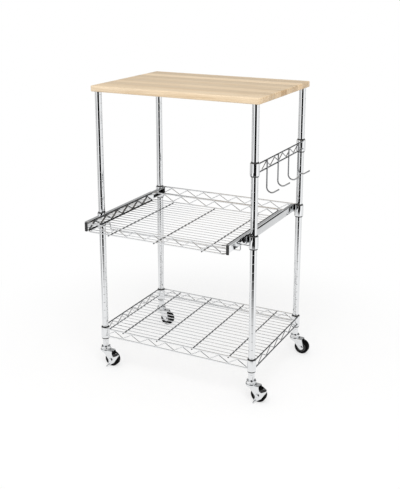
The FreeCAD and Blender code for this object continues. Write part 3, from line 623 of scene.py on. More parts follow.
def end_material(nodes: NodeTree, inputs: dict) -> None:
    """Closes a material with one surface shader."""
    shader = nodes.add("ShaderNodeBsdfPrincipled", inputs)
    nodes.add("ShaderNodeOutputMaterial", {"Surface": shader.outputs[0]})



@dataclass(frozen=True)
class MetalFinish:
    """Plated or bare metal with faint smears, fine scratches and cloudy tone."""

    name: str
    colour: Triple
    smooth: float
    dull: float
    smear_scale: float = 60.0
    scratch_depth: float = 0.001 * MM
    cloud: float = 0.02
    clouds: Noise = (25.0, 2.0, EVEN)
    scratches: Noise = (900.0, 2.0, (1.0, 1.0, 0.15))
    scratch_wear: Pair = (0.75, 1.25)
    cloud_span: Pair = (0.35, 0.65)

    def material(self) -> bpy.types.Material:
        """Builds the material.

        Returns:
            The material.
        """
        made, nodes, place = new_material(self.name)
        smear = nodes.noise(place, self.smear_scale, 4.0)
        scratch = nodes.noise(place, *self.scratches)
        worn = nodes.maths("MULTIPLY", smear, nodes.between(scratch, *self.scratch_wear))
        darker = tuple(c * (1 - self.cloud) for c in self.colour)
        colour = nodes.ramp(nodes.noise(place, *self.clouds),
                            tuple(zip(self.cloud_span, (darker, self.colour))))
        end_material(nodes, {
            "Base Color": colour, "Metallic": 1.0,
            "Roughness": nodes.between(worn, self.smooth, self.dull),
            "Normal": nodes.bump(scratch, self.scratch_depth)})
        return made


@dataclass(frozen=True)
class MouldedFinish:
    """Moulded plastic or rubber: a dark body with a fine pebbled skin and dusty wear."""

    name: str
    colour: Triple
    roughness: float
    pebble_scale: float = 1400.0
    pebble_depth: float = 0.02 * MM
    dust: float = 0.02
    sheen_level: float = 0.08
    dust_tone: float = 0.12
    dust_patches: Noise = (70.0, 5.0, EVEN)
    worn_patches: Noise = (150.0, 4.0, EVEN)
    smoother: float = 0.08
    rougher: float = 0.12
    dust_span: Pair = (0.45, 0.80)

    def material(self) -> bpy.types.Material:
        """Builds the material.

        Returns:
            The material.
        """
        made, nodes, place = new_material(self.name)
        pebble = nodes.noise(place, self.pebble_scale, 3.0)
        dusty = tuple(c + (self.dust_tone - c) * self.dust for c in self.colour)
        colour = nodes.ramp(nodes.noise(place, *self.dust_patches),
                            tuple(zip(self.dust_span, (self.colour, dusty))))
        end_material(nodes, {
            "Base Color": colour,
            "Roughness": nodes.between(nodes.noise(place, *self.worn_patches),
                                       self.roughness - self.smoother,
                                       self.roughness + self.rougher),
            "Specular IOR Level": self.sheen_level,
            "Normal": nodes.bump(pebble, self.pebble_depth)})
        return made


@dataclass(frozen=True)
class StaveFinish:
    """Oiled pale wood in staves glued edge to edge along X, with end grain at both ends."""

    name: str = "staved_wood"
    stave: float = 42.0 * MM
    glue_line: float = 0.35 * MM
    glue_tone: float = 0.72
    pale: Triple = (0.81, 0.635, 0.43)
    deep: Triple = (0.70, 0.50, 0.30)
    light: Triple = (0.88, 0.73, 0.54)
    grain_stops: Triple = (0.30, 0.47, 0.72)
    tones: Pair = (0.80, 1.13)
    shift: Triple = (3.0, 3.0, 3.0)
    offset: float = 100.0
    flame: Noise = (7.0, 4.0, (0.35, 9.0, 9.0))
    fibre: Noise = (60.0, 5.0, (0.12, 9.0, 9.0))
    pore: Noise = (240.0, 2.0, (0.05, 4.0, 4.0))
    flame_share: float = 0.65
    fibre_share: float = 0.35
    pore_span: Pair = (0.36, 0.46)
    pore_colour: Triple = (0.78, 0.74, 0.68)
    pore_share: float = 0.75
    half_length: float = 262.0 * MM
    end_from: float = 2.0 * MM
    end_to: float = 0.5 * MM
    end_dark: Triple = (0.88, 0.76, 0.61)
    end_light: Triple = (1.05, 1.01, 0.95)
    end_span: Pair = (0.15, 0.85)
    smoothest: float = 0.38
    roughest: float = 0.58
    grain_depth: float = 0.08 * MM
    grain_strength: float = 0.6

    def seam(self, nodes: NodeTree, row: Socket) -> Socket:
        """Tone of the glue lines: darker where a stave's own coordinate is near a whole number.

        Args:
            nodes: the material's nodes.
            row: distance along Y, counted in staves.

        Returns:
            The tone, 1 between the glue lines.
        """
        fraction = nodes.maths("FRACT", row)
        edge = nodes.maths("MINIMUM", fraction, nodes.maths("SUBTRACT", 1.0, fraction))
        return nodes.mapped(edge, (0.0, self.glue_line / self.stave), (self.glue_tone, 1.0))

    def material(self) -> bpy.types.Material:
        """Builds the material.

        Returns:
            The material.
        """
        made, nodes, place = new_material(self.name)
        axes = nodes.split(place)
        row = nodes.maths("DIVIDE", axes["Y"], self.stave)
        number = nodes.maths("FLOOR", nodes.maths("ADD", row, self.offset))
        # Each stave has its own tone and its own shift of the grain.
        own = nodes.add("ShaderNodeTexWhiteNoise", {"W": number}, noise_dimensions="1D").outputs
        moved = nodes.vector("ADD", place, nodes.vector("MULTIPLY", own["Color"], self.shift))
        flame, fibre, pore = (nodes.noise(moved, *kind)
                              for kind in (self.flame, self.fibre, self.pore))
        figure = nodes.maths("ADD", nodes.maths("MULTIPLY", flame, self.flame_share),
                             nodes.maths("MULTIPLY", fibre, self.fibre_share))
        grain = nodes.ramp(figure, tuple(zip(self.grain_stops, (self.deep, self.pale,
                                                                self.light))))
        toned = nodes.vector("SCALE", grain, nodes.between(own["Value"], *self.tones))
        seam = self.seam(nodes, row)
        pores = nodes.ramp(pore, tuple(zip(self.pore_span, (self.pore_colour, EVEN))))
        face = nodes.multiplied(self.pore_share, nodes.vector("SCALE", toned, seam), pores)
        # The end grain is warmer, and differs more from stave to stave.
        own_end = nodes.split(own["Color"])["Y"]
        end_tone = nodes.ramp(own_end, tuple(zip(self.end_span, (self.end_dark,
                                                                 self.end_light))))
        at_end = nodes.mapped(nodes.maths("ABSOLUTE", axes["X"]),
                              (self.half_length - self.end_from, self.half_length - self.end_to))
        height = nodes.maths("MULTIPLY", nodes.maths("ADD", fibre, pore), seam)
        end_material(nodes, {
            "Base Color": nodes.multiplied(at_end, face, end_tone),
            "Roughness": nodes.between(fibre, self.smoothest, self.roughest),
            "Normal": nodes.bump(height, self.grain_depth, self.grain_strength)})
        return made


class Finish(Enum):
    """The finishes of the cart, each built once when it is first asked for."""

    CHROME = MetalFinish("bright_chrome", (0.79, 0.80, 0.81), 0.015, 0.06)
    WIRE = MetalFinish("plated_wire", (0.78, 0.79, 0.80), 0.03, 0.10)
    # Same plated wire as WIRE, darkened: a painted dark reflection of the shade behind the cart,
    # for the mats' cross rods and the tray's side walls.
    ROD = MetalFinish("wire_painted_dark_reflection", (0.18, 0.185, 0.19), 0.03, 0.10)
    # Same plated wire as WIRE, greyed: a painted darker reflection, for the side trusses, the hook
    # rack truss and the hooks.
    SIDE_WIRE = MetalFinish("wire_painted_grey_reflection", (0.38, 0.39, 0.40), 0.03, 0.10)
    # Same zinc plate as ZINC, lightened: a painted bright reflection on the slide rails.
    RAIL = MetalFinish("zinc_painted_bright_reflection", (0.92, 0.93, 0.94), 0.03, 0.09)
    ZINC = MetalFinish("zinc_plate", (0.68, 0.69, 0.70), 0.07, 0.15, smear_scale=90.0, cloud=0.06)
    BRASS = MetalFinish("turned_brass", (0.78, 0.58, 0.28), 0.18, 0.34)
    WOOD = StaveFinish()
    BLACK_PLASTIC = MouldedFinish("black_plastic", (0.003, 0.003, 0.003), 0.42, sheen_level=0.03)
    NYLON = MouldedFinish("black_nylon", (0.010, 0.010, 0.011), 0.36, pebble_scale=900.0,
                          pebble_depth=0.01 * MM)
    RUBBER = MouldedFinish("stop_rubber", (0.010, 0.010, 0.010), 0.62)
    TYRE = MouldedFinish("tyre_rubber", (0.003, 0.003, 0.003), 0.50, pebble_scale=1100.0,
                         pebble_depth=0.03 * MM, sheen_level=0.04)
    HUB = MouldedFinish("hub_plastic", (0.014, 0.014, 0.016), 0.38)

    def get(self) -> bpy.types.Material:
        """The finish's material."""
        return bpy.data.materials.get(self.value.name) or self.value.material()


FINISH_OF_SLOT: dict[str, Finish] = {
    "wood": Finish.WOOD, "chrome": Finish.CHROME, "zinc": Finish.ZINC, "brass": Finish.BRASS,
    "black_plastic": Finish.BLACK_PLASTIC, "nylon": Finish.NYLON, "rubber": Finish.RUBBER,
    "tyre": Finish.TYRE, "hub_plastic": Finish.HUB,
}


# ---- pieces ---------------------------------------------------------------------------------
SHARP_ANGLE = math.radians(38.0)


def placed(name: str, data: bpy.types.ID) -> bpy.types.Object:
    """Puts a new object into the scene.

    Args:
        name: its name.
        data: its mesh, lamp or camera.

    Returns:
        The object.
    """
    made = bpy.data.objects.new(name, data)
    bpy.context.scene.collection.objects.link(made)
    return made


def aim(thing: bpy.types.Object, ahead: Vector) -> None:
    """Turns a lamp or a camera to face along a direction, upright."""
    thing.rotation_euler = ahead.to_track_quat("-Z", "Y").to_euler()


def make_piece(name: str, surface: Surface, node: str, finish: Finish | None = None) -> None:
    """Makes one piece that stands for a node of the frame and moves with that node's body.

    Args:
        name: the piece's name.
        surface: its shape, in the frame's own coordinates.
        node: the node that gives its body and its material slot.
        finish: its finish; the slot's own if left out.
    """
    mesh = bpy.data.meshes.new(name)
    faces = surface.quads.tolist() + [cap.tolist() for cap in surface.caps]
    mesh.from_pydata(surface.points.tolist(), [], faces)
    mesh.validate()
    mesh.shade_smooth()
    mesh.set_sharp_from_angle(angle=SHARP_ANGLE)
    made = placed(name, mesh)
    slot = SLOT_OF_NODE[node]
    mesh.materials.append((finish or FINISH_OF_SLOT[slot]).get())
    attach(made, frame["nodes"][node]["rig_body"])
    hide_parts(node)
    LOG.info("%s: %d points, for %s", name, len(surface.points), node)


def beads(places: np.ndarray, size: Sequence[float]) -> Surface:
    """Small flattened drops at the given places: weld nuggets where wires cross.

    P(s, t) = C + (a sin s cos t, b sin s sin t, c cos s).

    Args:
        places: centres, shape (n, 3).
        size: the half sizes a, b and c.

    Returns:
        The drops as one surface.
    """
    s, t = NUGGET_ANGLES, full_turn(steps=8)
    ball = np.stack([np.outer(np.sin(s), np.cos(t)), np.outer(np.sin(s), np.sin(t)),
                     np.outer(np.cos(s), np.ones(len(t)))], -1) * np.asarray(size)
    drop = Surface.grid(ball).outward()
    return Surface.joined([drop.moved(place) for place in places])


# ---- sub-assemblies -------------------------------------------------------------------------
CORNERS: tuple[str, ...] = ("front_left", "front_right", "rear_left", "rear_right")
POST_PLACE: dict[str, np.ndarray] = {c: node_centre("post_" + c)[:2] for c in CORNERS}


@dataclass
class Worktop:
    """The wooden board, its upright corners rounded and its upper and lower edges eased."""

    corner: float = 6.0 * MM
    edge: float = 3.0 * MM
    steps: int = 7

    def board(self) -> Surface:
        """Rounded rectangles that draw in by e (1 - cos a) as the edge turns by the angle a.

        Returns:
            The closed surface.
        """
        low, high = node_box("worktop_board")
        middle, half = (low + high) / 2, (high - low) / 2
        turn = np.radians(np.linspace(-90, 90, 2 * self.steps))
        inset = self.edge * (1 - np.cos(turn))
        height = np.where(turn < 0, low[2] + self.edge * (1 + np.sin(turn)),
                          high[2] - self.edge * (1 - np.sin(turn)))
        rings = []
        for draw, z in zip(inset, height):
            flat = rounded_rectangle(half[:2] - draw, self.corner - draw)
            rings.append(np.column_stack([flat + middle[:2], np.full(len(flat), z)]))
        return Surface.grid(np.stack(rings)).outward()

    def build(self) -> None:
        """Makes the board."""
        make_piece("worktop_staves", self.board(), "worktop_board")


@dataclass
class Post:
    """A grooved tube. Its grooves are rounded dents at the standard pitch."""

    corner: str
    wall: float = 1.2 * MM
    pitch: float = 25.4 * MM
    first: float = 19.2 * MM
    depth: float = 0.22 * MM
    width: float = 0.45 * MM
    stops: tuple[float, ...] = (-4.0, -3.0, -2.2, -1.5, -1.0, -0.5, 0.0, 0.5, 1.0, 1.5, 2.2, 3.0,
                                4.0)
    lip: float = 0.5 * MM

    def profile(self) -> np.ndarray:
        """Wall section: r(z) = R - d exp(-((z - z0) / w)^2) at every groove z0.

        Returns:
            The closed profile, with points at the stops, counted in widths from z0.
        """
        low, high = node_box("post_" + self.corner)
        radius = (high[0] - low[0]) / 2
        grooves = np.arange(low[2] + self.first, high[2] - self.width, self.pitch)
        offsets = np.array(self.stops) * self.width
        z = (grooves[:, None] + offsets).ravel()
        r = radius - self.depth * np.exp(-np.tile(offsets / self.width, len(grooves)) ** 2)
        foot = arc((radius - self.lip, low[2] + self.lip), self.lip, -90, 0, steps=4)
        head = arc((radius - self.lip, high[2] - self.lip), self.lip, 0, 90, steps=4)
        inner = radius - self.wall
        return np.concatenate([[(inner, low[2])], foot, np.column_stack([r, z]), head,
                               [(inner, high[2])]])

    def build(self) -> None:
        """Makes the post."""
        x, y = POST_PLACE[self.corner]
        make_piece("post_tube_" + self.corner,
                   revolved(self.profile(), (x, y, 0), Z_AXIS, ring=True), "post_" + self.corner)


@dataclass
class Level:
    """The collars of one level and the split sleeves that wedge them on the posts."""

    name: str
    corners: tuple[str, ...] = CORNERS
    post_radius: float = 9.53 * MM
    top_bore: float = 10.8 * MM
    bottom_bore: float = 11.5 * MM
    collar_round: float = 0.55 * MM
    sleeve_round: float = 0.35 * MM
    split_degrees: float = 1.8

    def collar(self, place: np.ndarray, low: float, high: float, radius: float) -> Surface:
        """A collar: a straight outside, a conical bore and rounded rims.

        Args:
            place: the post's axis in X and Y.
            low: height of the lower rim.
            high: height of the upper rim.
            radius: outside radius.

        Returns:
            The closed surface.
        """
        profile = rounded_profile([(self.bottom_bore, low), (radius, low), (radius, high),
                                   (self.top_bore, high)], self.collar_round)
        return revolved(profile, (*place, 0), Z_AXIS, segments=56, ring=True)

    def halves(self, place: np.ndarray, low: float, high: float) -> list[Surface]:
        """The two halves of a sleeve, a cone outside, parted on the line through the post.

        Args:
            place: the post's axis in X and Y.
            low: height of the lower rim.
            high: height of the upper rim.

        Returns:
            Two closed surfaces.
        """
        profile = rounded_profile([(self.post_radius, low), (self.bottom_bore, low),
                                   (self.top_bore, high), (self.post_radius, high)],
                                  self.sleeve_round)
        gap = self.split_degrees
        return [revolved(profile, (*place, 0), Z_AXIS, segments=25,
                         sweep=(start + gap, start + 180 - gap)) for start in (-90, 90)]

    def sleeve_nodes(self) -> dict[str, list[str]]:
        """The level's nodes of sleeves.

        Returns:
            For each node, the posts that it is on.
        """
        if len(self.corners) == 2:
            return {self.name + "_sleeves": list(self.corners)}
        return {f"{self.name}_sleeves_{side}": [c for c in self.corners if c.endswith(side)]
                for side in ("left", "right")}

    def build(self) -> None:
        """Makes the level's collars as one piece, and its sleeves."""
        low, high = node_box(self.name + "_collars")
        radius = high[0] - POST_PLACE[self.corners[-1]][0]
        collars = [self.collar(POST_PLACE[c], low[2], high[2], radius) for c in self.corners]
        make_piece(self.name + "_collar_rings", Surface.joined(collars), self.name + "_collars")
        for node, corners in self.sleeve_nodes().items():
            low, high = node_box(node)
            halves = [h for c in corners for h in self.halves(POST_PLACE[c], low[2], high[2])]
            make_piece(node + "_halves", Surface.joined(halves), node)


@dataclass
class Lattice:
    """The zigzag wire between two straight wires, and the small welds at its bends."""

    bay: float = 29.3 * MM
    wire: float = 1.3 * MM
    bend: float = 4.0 * MM
    weld_rise: float = 0.26 * MM
    weld_across: float = 1.17 * MM
    weld_along: float = 1.95 * MM

    def wires(self, place: Callable[[float, float], np.ndarray], normal: np.ndarray,
              levels: Sequence[float], straight: float, reach: float, half_bays: int,
              starts_high: bool) -> Surface:
        """A zigzag along a truss, between its straight wires.

        Args:
            place: turns a distance along the truss and a height into a point.
            normal: unit normal of the truss's plane.
            levels: heights of the lower and the upper straight wire.
            straight: radius of the straight wires.
            reach: how far the zigzag goes from the middle at most.
            half_bays: number of its runs on each side of the middle.
            starts_high: whether the first bend is an upper one.

        Returns:
            The wire and its welds.
        """
        low, high = levels[0] + straight + self.wire, levels[1] - straight - self.wire
        index = np.arange(2 * half_bays + 1)
        along = np.clip((index - half_bays) * self.bay, -reach, reach)
        is_high = (index % 2 == 0) == starts_high
        corners = np.array([place(a, high if h else low) for a, h in zip(along, is_high)])
        wire = swept(*rounded_path(corners, self.bend), normal, self.wire)
        touch = np.array([place(a, high + self.weld_rise if h else low - self.weld_rise)
                          for a, h in zip(along[1:-1], is_high[1:-1])])
        size = np.where(np.abs(normal) > 0.5, self.weld_across, self.weld_along)
        return Surface.joined([wire, beads(touch, size)])

    def truss(self, place: Callable[[float, float], np.ndarray], normal: np.ndarray,
              levels: Sequence[float], straight: float, reach: float, inset: float,
              half_bays: int, starts_high: bool) -> Surface:
        """Two straight wires with the zigzag between them.

        Args:
            place: turns a distance along the truss and a height into a point.
            normal: unit normal of the truss's plane.
            levels: heights of the lower and the upper straight wire.
            straight: radius of the straight wires.
            reach: how far they go from the middle.
            inset: how far the zigzag stays back from their ends.
            half_bays: number of the zigzag's runs on each side of the middle.
            starts_high: whether its first bend is an upper one.

        Returns:
            The truss.
        """
        pairs = np.array([[place(-reach, z), place(reach, z)] for z in levels])
        along = np.tile(unit(pairs[0, 1] - pairs[0, 0]), (2, 1))
        return Surface.joined([
            *(swept(pair, along, normal, straight, WIRE_SIDES, domed=False) for pair in pairs),
            self.wires(place, normal, levels, straight, reach - inset, half_bays, starts_high)])


@dataclass
class FrameTruss:
    """A truss between two collars: two straight wires and the lattice between them."""

    node: str
    along_x: bool
    high_at_middle: bool
    levels: tuple[float, ...]
    finish: Finish = Finish.WIRE
    collar: float = 13.0 * MM
    end_gap: float = 3.0 * MM
    lattice: Lattice = field(default_factory=Lattice)

    def at(self, level: float) -> Surface:
        """One of the trusses.

        Args:
            level: distance of its plane from the middle of the cart.

        Returns:
            The truss.
        """
        low, high = node_box(self.node)
        run = 0 if self.along_x else 1
        half_span = abs(POST_PLACE["rear_right"][run])
        half_bays = int((half_span - self.collar) / self.lattice.bay + 0.5)

        def place(along: float, height: float) -> np.ndarray:
            """A point of the truss's plane."""
            pair = (along, level) if self.along_x else (level, along)
            return np.array([*pair, height])

        return self.lattice.truss(
            place, Y_AXIS if self.along_x else X_AXIS, (low[2] + TRUSS_WIRE, high[2] - TRUSS_WIRE),
            TRUSS_WIRE, high[run], self.end_gap + self.lattice.wire, half_bays,
            self.high_at_middle == (half_bays % 2 == 0))

    def build(self) -> None:
        """Makes the truss at each of its distances from the middle, as one piece."""
        made = Surface.joined([self.at(level) for level in self.levels])
        make_piece(self.node + "_wires", made, self.node, self.finish)


TRUSS_X = node_centre("hook_rack_truss")[0]
TRUSS_Y = node_centre("drawer_frame_rear_truss")[1]
TRUSS_WIRE = node_box("hook_rack_truss")[1][0] - TRUSS_X


@dataclass
class WireMat:
    """A floor of thin wires along X on thicker cross rods along Y."""

    node: str
    rods: tuple[float, ...]
    rod: float
    wire: float
    count: int
    inset_ends: Callable[[float], float]
    front: float
    rear: float
    bay: float = Lattice.bay
    weld: Triple = (1.7 * MM, 1.7 * MM, 1.0 * MM)
    weld_sunk: float = 0.1 * MM

    def build(self) -> None:
        """Makes the rods, the wires and a small weld at every crossing."""
        low, high = node_box(self.node)
        rod_x = np.array(self.rods) * self.bay
        rod_z, wire_z = low[2] + self.rod, high[2] - self.wire
        fill = lambda x, y, z: np.column_stack([x, np.full(len(x), y), np.full(len(x), z)])
        rods = straight_wires(fill(rod_x, low[1], rod_z), fill(rod_x, high[1], rod_z), self.rod,
                              sides=14)
        y = np.linspace(self.front, self.rear, self.count + 2)[1:-1]
        end = np.array([self.inset_ends(v) for v in y])
        z = np.full(self.count, wire_z)
        wires = straight_wires(np.column_stack([-end, y, z]), np.column_stack([end, y, z]),
                               self.wire)
        across, along = np.meshgrid(rod_x, y)
        weld_z = (rod_z + self.rod + wire_z) / 2 - self.weld_sunk
        welds = beads(np.column_stack([across.ravel(), along.ravel(),
                                       np.full(across.size, weld_z)]), self.weld)
        # The rods take the darkened wire finish: a painted dark reflection.
        make_piece(self.node + "_rods", rods, self.node, Finish.ROD)
        make_piece(self.node + "_wires", Surface.joined([wires, welds]), self.node, Finish.WIRE)


def shelf_mat() -> WireMat:
    """The lower shelf's floor; wires level with a collar stop short of it.

    Returns:
        The floor.
    """
    reach = node_box("shelf_mat")[1][0]
    post_x, post_y = POST_PLACE["rear_right"]
    collar, wire = FrameTruss.collar, 1.2 * MM

    def end(y: float) -> float:
        """Half length of the wire at y."""
        return post_x - collar if abs(abs(y) - post_y) < collar + wire else reach

    return WireMat("shelf_mat", rods=(-6, -2, 2, 6), rod=2.0 * MM, wire=wire, count=17,
                   inset_ends=end, front=-TRUSS_Y, rear=TRUSS_Y)


@dataclass
class Tray:
    """The pull-out tray's walls: bent rim wires and the lattice between them."""

    wire: float = 1.75 * MM
    corner: float = 12.0 * MM
    joint: float = 1.0 * MM
    floor_wire: float = 1.1 * MM
    floor_count: int = 17
    lattice: Lattice = field(default_factory=Lattice)

    def limits(self) -> tuple[float, float, float, float, float]:
        """The walls' places, to the centres of their wires.

        Returns:
            Half width, front, rear, and heights of the lower and the upper wires.
        """
        front, rear = node_box("tray_front_truss"), node_box("tray_rear_truss")
        half = node_box("tray_side_trusses")[1][0] - self.wire
        mat = node_box("tray_mat")
        return (half, mat[0][1] + self.wire, mat[1][1] - self.wire, front[0][2] + self.wire,
                rear[1][2] - self.wire)

    def end_wall(self, y: float, inward: float) -> Surface:
        """The front or rear wall, whose wires turn the corners towards the side walls.

        Args:
            y: place of the wall.
            inward: 1 where the tray lies behind the wall, -1 where it lies in front.

        Returns:
            The wall.
        """
        half, _, _, *levels = self.limits()
        turned = y + inward * (self.corner + self.joint)
        parts = []
        for z in levels:
            path = [(-half, turned, z), (-half, y, z), (half, y, z), (half, turned, z)]
            parts.append(swept(*rounded_path(path, self.corner, WIRE_BEND), Z_AXIS, self.wire,
                               WIRE_SIDES, domed=False))
        reach = half - self.corner
        half_bays = int(reach / self.lattice.bay + 0.5)
        zigzag = self.lattice.wires(lambda a, z: np.array([a, y, z]), Y_AXIS, levels, self.wire,
                                    reach, half_bays, False)
        return Surface.joined([*parts, zigzag])

    def side_wall(self, x: float) -> Surface:
        """A side wall between the turned ends of the front and rear wires.

        Args:
            x: place of the wall.

        Returns:
            The wall.
        """
        _, front, rear, *levels = self.limits()
        middle, half = (front + rear) / 2, (rear - front) / 2
        return self.lattice.truss(lambda a, z: np.array([x, middle + a, z]), X_AXIS, levels,
                                  self.wire, half - self.corner - self.joint, 0.0,
                                  int(half / self.lattice.bay), False)

    def floor_end(self, y: float) -> float:
        """Half length of a floor wire, shorter where the rim turns its corner.

        Args:
            y: place of the wire.

        Returns:
            The half length.
        """
        half, front, rear, _, _ = self.limits()
        beside = min(y - front, rear - y)
        return half - self.wire - max(0.0, self.corner - beside)

    def build(self) -> None:
        """Makes the four walls and the floor."""
        half, front, rear, _, _ = self.limits()
        make_piece("tray_front_wall", self.end_wall(front, 1), "tray_front_truss", Finish.WIRE)
        make_piece("tray_rear_wall", self.end_wall(rear, -1), "tray_rear_truss", Finish.WIRE)
        # The side walls take the darkened wire finish: a painted dark reflection.
        make_piece("tray_side_walls", Surface.joined([self.side_wall(-half), self.side_wall(half)]),
                   "tray_side_trusses", Finish.ROD)
        WireMat("tray_mat", rods=(-5, 0, 5), rod=self.wire, wire=self.floor_wire,
                count=self.floor_count, inset_ends=self.floor_end, front=front, rear=rear).build()


@dataclass
class Slides:
    """The roller slides: channels on the posts' collars, rails on the tray, and their rollers.

    Heads are (radius, height) pairs. The roller's web and rim are (radius, half width) pairs, and
    with its hub's half width they are shares of the roller's own. The ears' thickness is a share
    of the sheet's.
    """

    sheet: float = 1.2 * MM
    lip: float = 3.0 * MM
    bend: float = 1.3 * MM
    channel_front: float = -176.0 * MM
    channel_rear: float = 166.0 * MM
    ear_overlap: float = 1.5 * MM
    ear_round: float = 3.0 * MM
    ear_thin: float = 0.96
    ear_edge: float = 0.15 * MM
    pin: float = 2.5 * MM
    pin_gap: float = 0.2 * MM
    pin_play: float = 0.06 * MM
    pin_head: Pair = (4.2 * MM, 1.0 * MM)
    screw_head: Pair = (3.0 * MM, 1.3 * MM)
    screw_back: float = 34.0 * MM
    screw_drop: float = 1.0 * MM
    head_rim: float = 0.3
    hub_wall: float = 1.2 * MM
    hub_half: float = 0.80
    web: Pair = (0.62, 0.66)
    rim: Pair = (0.80, 0.95)
    roller_edge: float = 0.7 * MM
    block_edge: float = 0.5 * MM
    cap_round: float = 1.2 * MM
    stop_round: float = 1.5 * MM

    def sheet_run(self, corners: Sequence[Sequence[float]], front: float, rear: float) -> Surface:
        """Bent sheet: a section in X and Z, carried along Y from front to rear."""
        outline = strip_outline(*flat_path(corners, self.bend, steps=5), self.sheet)
        return extruded(outline, (0, front, 0), X_AXIS, Z_AXIS, Y_AXIS * (rear - front))

    def channel(self) -> Surface:
        """The right-hand channel, its web carried on at both ends as rounded ears.

        Returns:
            The channel and its ears.
        """
        low, high = node_box("slide_channel_right")
        half = self.sheet / 2
        inner, outer = low[0] + half, high[0] - half
        floor, roof = low[2] + half, high[2] - half
        section = [(inner, high[2] - self.lip), (inner, roof), (outer, roof), (outer, floor),
                   (inner, floor), (inner, low[2] + self.lip)]
        parts = [self.sheet_run(section, self.channel_front, self.channel_rear)]
        for start, stop in ((low[1], self.channel_front), (self.channel_rear, high[1])):
            half_size = ((stop - start) / 2 + self.ear_overlap, (roof - floor) / 2)
            middle = (outer - half * self.ear_thin,
                      (start + stop) / 2 + math.copysign(self.ear_overlap, -start),
                      (floor + roof) / 2)
            parts.append(extruded(rounded_rectangle(half_size, self.ear_round), middle, Y_AXIS,
                                  Z_AXIS, X_AXIS * self.sheet * self.ear_thin, self.ear_edge))
        return Surface.joined(parts)

    def rail(self) -> Surface:
        """The right-hand rail: a web with a flange turned outwards along its upper edge.

        Returns:
            The rail and the heads of its screws.
        """
        low, high = node_box("slide_rail_right")
        half = self.sheet / 2
        section = [(low[0] + half, low[2]), (low[0] + half, high[2] - half),
                   (high[0], high[2] - half)]
        web, middle = low[0] + self.sheet, (low[2] + high[2]) / 2 - self.screw_drop
        places = [(web, y, middle) for y in (low[1] + self.screw_back,
                                             high[1] - 2 * self.screw_back)]
        return Surface.joined([
            self.sheet_run(section, low[1], high[1]),
            *(domed_head(place, X_AXIS, *self.screw_head, rim=self.head_rim, segments=20)
              for place in places)])

    def roller(self, node: str) -> Surface:
        """A roller with eased rims and a shallow hollow in each face, open for its pin.

        Args:
            node: the roller's node.

        Returns:
            The closed surface.
        """
        low, high = node_box(node)
        radius, half = (high[2] - low[2]) / 2, (high[0] - low[0]) / 2
        bore = self.pin + self.pin_play
        side = [(bore, self.hub_half * half), (bore + self.hub_wall, self.hub_half * half),
                (radius * self.web[0], half * self.web[1]),
                (radius * self.rim[0], half * self.rim[1]), (radius - self.roller_edge, half),
                (radius, half - self.roller_edge)]
        return revolved(both_sides(side), (low + high) / 2, X_AXIS, ring=True)

    def pin_with_head(self, node: str, centre: np.ndarray, head_inboard: bool) -> Surface:
        """A right-hand roller's pin, with a domed head where its inner end is free.

        Args:
            node: the pins' node.
            centre: middle of the roller.
            head_inboard: whether the inner end is free; it stands on the rail's web if not.

        Returns:
            The pin.
        """
        outer = node_box(node)[1][0]
        inner = (node_box("front_roller_right")[0][0] - self.pin_gap if head_inboard
                 else node_box("slide_rail_right")[0][0] + self.sheet)
        place = (inner, centre[1], centre[2])
        shank = revolved([(self.pin, 0), (self.pin, outer - inner)], place, X_AXIS, segments=24)
        if not head_inboard:
            return shank
        head = domed_head(place, -X_AXIS, *self.pin_head, rim=self.head_rim, segments=20)
        return Surface.joined([shank, head])

    def block(self, node: str, radius: float) -> Surface:
        """A rounded block in the right-hand place of a node that has one on each side.

        Args:
            node: the end caps' or the end stops' node.
            radius: radius of its edges along Y.

        Returns:
            The closed surface.
        """
        low, high = node_box(node)
        inner = {"rail_end_caps": node_box("slide_rail_right")[0][0],
                 "channel_end_stops": node_box("slide_channel_right")[0][0] + self.sheet}[node]
        half = np.array([(high[0] - inner) / 2, (high[2] - low[2]) / 2])
        middle = ((high[0] + inner) / 2, low[1], (low[2] + high[2]) / 2)
        return extruded(rounded_rectangle(half, radius, steps=5), middle, X_AXIS, Z_AXIS,
                        Y_AXIS * (high[1] - low[1]), self.block_edge)

    def pair(self, name: str, right: Surface, node: str) -> None:
        """Makes one piece of a right-hand shape and its mirror image."""
        make_piece(name, Surface.joined([right, right.mirrored()]), node)

    def build(self) -> None:
        """Makes both slides."""
        channel, rail = self.channel(), self.rail()
        make_piece("channel_right", channel, "slide_channel_right")
        make_piece("channel_left", channel.mirrored(), "slide_channel_left")
        # The rails take the lightened zinc finish: a painted bright reflection.
        make_piece("rail_right", rail, "slide_rail_right", Finish.RAIL)
        make_piece("rail_left", rail.mirrored(), "slide_rail_left", Finish.RAIL)
        for kind in ("front", "rear"):
            roller = self.roller(kind + "_roller_right")
            make_piece(kind + "_wheel_right", roller, kind + "_roller_right")
            make_piece(kind + "_wheel_left", roller.mirrored(), kind + "_roller_left")
            centre = node_centre(kind + "_roller_right")
            pin = self.pin_with_head(kind + "_roller_pins", centre, kind == "front")
            self.pair(kind + "_roller_rivets", pin, kind + "_roller_pins")
        for name, node, radius in (("rail_caps", "rail_end_caps", self.cap_round),
                                   ("end_stop_blocks", "channel_end_stops", self.stop_round)):
            self.pair(name, self.block(node, radius), node)


@dataclass
class FrontTie:
    """The wire between the front collars that dips under the tray."""

    leg: float = 210.0 * MM
    bend: float = 5.0 * MM

    def build(self) -> None:
        """Makes the wire."""
        low, high = node_box("drawer_frame_front_tie")
        wire = (high[1] - low[1]) / 2
        y, bottom, top = (low[1] + high[1]) / 2, low[2] + wire, high[2] - wire
        path = [(low[0], y, top), (-self.leg, y, top), (-self.leg, y, bottom),
                (self.leg, y, bottom), (self.leg, y, top), (high[0], y, top)]
        tie = swept(*rounded_path(path, self.bend, WIRE_BEND), Y_AXIS, wire, WIRE_SIDES,
                    domed=False)
        make_piece("front_tie_wire", tie, "drawer_frame_front_tie", Finish.WIRE)


